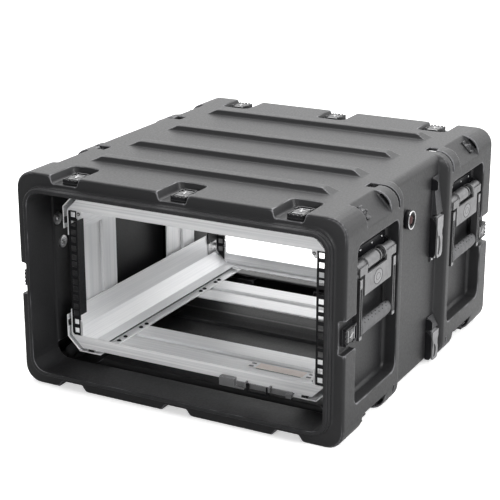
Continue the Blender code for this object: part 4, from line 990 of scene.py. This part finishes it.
def make_label():
    """Blank label on the front hoop's floor: a plain tinted panel, an edge line and four marks."""
    label = Assembly("blank_label")
    label.add(LABEL_WHITE, slab, outline_rounded(62 * MM, 13.5 * MM, 1.5 * MM), 0, 0.2 * MM)
    label.add(LABEL_TINT, slab, outline_rounded(44 * MM, 11 * MM, MM), 0.2 * MM, 0.3 * MM)
    edge_line = outline_rounded(42 * MM, 0.7 * MM, 0.3 * MM)
    label.add(LABEL_MARK, slab, edge_line, 0.2 * MM, 0.35 * MM, (0, -12.2 * MM))
    mark = outline_rounded(4.5 * MM, 2.6 * MM, 1.5 * MM)
    for x in (-54, 54):
        for y in (-6, 6):
            label.add(LABEL_MARK, slab, mark, 0.2 * MM, 0.3 * MM, (x * MM, y * MM))
    place("blank_label", label.done(), "case", shifted(*LABEL_SPOT))


# ---------------------------------------------------------------- valve and latches
VALVE_MOUTH = (293.5, -46.0, 300.0)
LATCH_FLOOR_X = 284.3
LATCH_LEVER_FACE_X = 297.9
LATCH_CHEEK_Y = 15.8
CLAW_HEIGHTS = {"upper": 34 * MM, "lower": 24 * MM}


def draw_bezel(bm):
    """Thin rounded ring round the mouth of the valve."""
    profile = [(15.2, -1.0), (15.9, -0.4), (15.7, 0.5), (14.9, 0.8), (14.2, 0.4), (14.0, -1.0)]
    turned(bm, [(radius * MM, height * MM) for radius, height in profile], 40, "ring")


def draw_valve_star(bm):
    """Six raised vanes round the push button."""
    for step in range(6):
        angle = math.pi * step / 3
        spoke = Vector((math.cos(angle), math.sin(angle), 0))
        across = Vector((-spoke.y, spoke.x, 0))
        loops = []
        for along in (8.2 * MM, 11.2 * MM):
            corners = ((-0.7, -5.0), (0.7, -5.0), (0.7, -1.4), (-0.7, -1.4))
            loops.append([spoke * along + across * u * MM + Vector((0, 0, z * MM)) for u, z in corners])
        loft(bm, loops)


def make_valve_fittings():
    """Bezel and vanes of the pressure valve."""
    fittings = Assembly("valve_fittings")
    fittings.add(BRIGHT, draw_bezel)
    fittings.add(PART_BLACK, draw_valve_star)
    placement = facing(Vector(VALVE_MOUTH) * MM, (1, 0, 0), (0, 0, 1))
    place("valve_fittings", fittings.done(), "case", placement)


def draw_latch_cheek(bm, height):
    """Black cheek beside a latch, with a rounded nose; +Y up, +Z out of the wall."""
    foot = [(-0.5, 0.0), (-0.5, 8.0), (-0.44, 11.0), (-0.30, 12.6)]
    nose = [(0.28, 12.6), (0.42, 10.0), (0.5, 4.0), (0.5, 0.0)]
    outline = [(y * height, z * MM) for y, z in foot + nose]
    loft(bm, [[Vector((x, y, z)) for y, z in outline] for x in (-1.5 * MM, 1.5 * MM)])


def draw_latch_claw(bm, height):
    """Curved black claw that lies on the lever's near half."""
    loops = []
    steps = 10
    for step in range(steps + 1):
        along = step / steps
        swing = math.sin(math.pi * along)
        middle = Vector((-6.0 * MM + 5.0 * MM * swing, (along - 0.5) * height, 0))
        half = (1.0 + 1.4 * swing) * MM
        corners = ((-half, -0.4 * MM), (half, -0.4 * MM), (half, 0.8 * MM), (-half, 0.8 * MM))
        loops.append([middle + Vector((across, 0, up)) for across, up in corners])
    loft(bm, loops)


def make_latch_details():
    """Cheeks, claws and foot screws of the four side latches."""
    for level, claw_height in CLAW_HEIGHTS.items():
        for side, sign in SIDES.items():
            body = f"latch_{level}_{side}"
            low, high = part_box(f"latch_base_{level}_{side}")
            lever_low, lever_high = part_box(f"latch_lever_{level}_{side}")
            middle_y = (low.y + high.y) / 2
            span = lever_high.z - lever_low.z
            middle_z = (lever_high.z + lever_low.z) / 2
            claw = Assembly(f"latch_claw_{level}_{side}")
            claw.add(PART_BLACK, draw_latch_claw, claw_height)
            face = (sign * LATCH_LEVER_FACE_X * MM, middle_y, lever_low.z + claw_height / 2 + 6 * MM)
            place(f"{body}_claw", claw.done(), body, facing(face, (sign, 0, 0), (0, 0, 1)))
            fixed = Assembly(f"latch_fittings_{level}_{side}")
            near = -sign * LATCH_CHEEK_Y * MM
            fixed.add(PART_BLACK, draw_latch_cheek, span * 0.94, at=Matrix.Translation((near, 0, 0)))
            head = Matrix.Translation((near, high.z - 12 * MM - middle_z, 0))
            fixed.add(PART_BLACK, draw_latch_cheek, 20 * MM, at=head)
            for x in (-6.5, 6.5):
                drop = low.z + 4 * MM - middle_z
                fixed.add(BRIGHT, draw_rivet, 2.2 * MM, at=Matrix.Translation((x * MM, drop, 2.4 * MM)))
            wall = (sign * LATCH_FLOOR_X * MM, middle_y, middle_z)
            place(f"{body}_fittings", fixed.done(), "case", facing(wall, (sign, 0, 0), (0, 0, 1)))


# ---------------------------------------------------------------- stage
CAMERA_LENS = 104.71
CAMERA_PLACE = (1.1352, -2.2005, 1.0109)
CAMERA_TURN = (1.2502, -0.0003, 0.4886)
# The room's light is strongest from this direction, behind the case.
BACK_DIRECTION = (-0.35, 0.93, 0.0)
BACK_LIGHT = 2.15
# Light that the floor seems to give off, seen by the camera only.
FLOOR_GLOW = 0.5
LAMP_TARGET = (0, 0, 0.2)
# Name, place in metres, width in metres and power in watts of each square lamp.
LAMPS = (
    ("key_above", (0.2, 0.6, 2.4), 2.0, 62.0),
    ("front_middle", (0.2, -2.6, 0.9), 0.8, 22.0),
    ("front_right", (2.2, -1.2, 1.6), 1.0, 58.0),
)


def make_floor():
    """Paper floor, pale to the camera, whose darker front half bounces less light up."""
    bpy.ops.mesh.primitive_plane_add(size=14, location=(0, 0, 0))
    floor = bpy.context.object
    floor.name = "studio_floor"
    shader = Shader("studio_paper", specular=0.2)
    paper = shader.ramp(shader.noise(3.0, 2.0), [(0.3, (0.90, 0.90, 0.90)), (0.7, (0.93, 0.93, 0.93))])
    split = shader.add("ShaderNodeSeparateXYZ")
    shader.link(shader.position, split.inputs["Vector"])
    depth = shader.value_range(split.outputs["Y"], 0.0, 1.0, -0.6, 0.0)
    bounced = shader.mixed(depth, (0.36, 0.36, 0.36), (0.82, 0.82, 0.82))
    seen = shader.add("ShaderNodeLightPath").outputs["Is Camera Ray"]
    shader.colour(shader.mixed(seen, bounced, paper))
    glow = shader.maths("MULTIPLY", seen, FLOOR_GLOW)
    shader.link(glow, shader.principled.inputs["Emission Strength"])
    shader.principled.inputs["Emission Color"].default_value = (1.0, 1.0, 1.0, 1.0)
    shader.roughness(shader.value_range(shader.noise(60.0, 3.0), 0.75, 0.85))
    floor.data.materials.append(shader.material)


def make_camera():
    """Camera in front of the case, to its right and above."""
    camera_data = bpy.data.cameras.new("camera")
    camera_data.lens = CAMERA_LENS
    camera_data.sensor_width = 36
    camera = bpy.data.objects.new("camera", camera_data)
    camera.location = CAMERA_PLACE
    camera.rotation_euler = CAMERA_TURN
    bpy.context.scene.collection.objects.link(camera)
    bpy.context.scene.camera = camera


def make_lamps():
    """Square lamps aimed at the case."""
    for name, location, size, power in LAMPS:
        light = bpy.data.lights.new(name, "AREA")
        light.shape = "SQUARE"
        light.size = size
        light.energy = power
        lamp = bpy.data.objects.new(name, light)
        lamp.location = location
        aim = Vector(LAMP_TARGET) - Vector(location)
        lamp.rotation_euler = aim.to_track_quat("-Z", "Y").to_euler()
        bpy.context.scene.collection.objects.link(lamp)


def make_world():
    """White studio whose light comes from behind the case."""
    world = bpy.data.worlds.new("studio")
    bpy.context.scene.world = world
    world.use_nodes = True
    tree = world.node_tree
    background = tree.nodes["Background"]
    background.inputs["Color"].default_value = (1.0, 1.0, 1.0, 1.0)
    coordinates = tree.nodes.new("ShaderNodeTexCoord")
    depth = tree.nodes.new("ShaderNodeVectorMath")
    depth.operation = "DOT_PRODUCT"
    depth.inputs[1].default_value = Vector(BACK_DIRECTION).normalized()
    tree.links.new(coordinates.outputs["Generated"], depth.inputs[0])
    behind = tree.nodes.new("ShaderNodeMapRange")
    for label, value in (("From Min", -0.3), ("From Max", 0.6), ("To Min", 0.0), ("To Max", BACK_LIGHT)):
        behind.inputs[label].default_value = value
    tree.links.new(depth.outputs["Value"], behind.inputs["Value"])
    path = tree.nodes.new("ShaderNodeLightPath")
    mix = tree.nodes.new("ShaderNodeMix")
    tree.links.new(path.outputs["Is Camera Ray"], mix.inputs["Factor"])
    tree.links.new(behind.outputs["Result"], mix.inputs["A"])
    mix.inputs["B"].default_value = 1.0
    tree.links.new(mix.outputs["Result"], background.inputs["Strength"])
    bpy.context.scene.view_settings.view_transform = "Standard"


finish_cad_nodes()
soft_shell()
make_tongues()
make_keepers()
make_handle_details()
make_inner_bolts()
make_gussets()
make_angle_bolts()
make_joint_plates()
make_label()
make_valve_fittings()
make_latch_details()
make_floor()
make_camera()
make_lamps()
make_world()
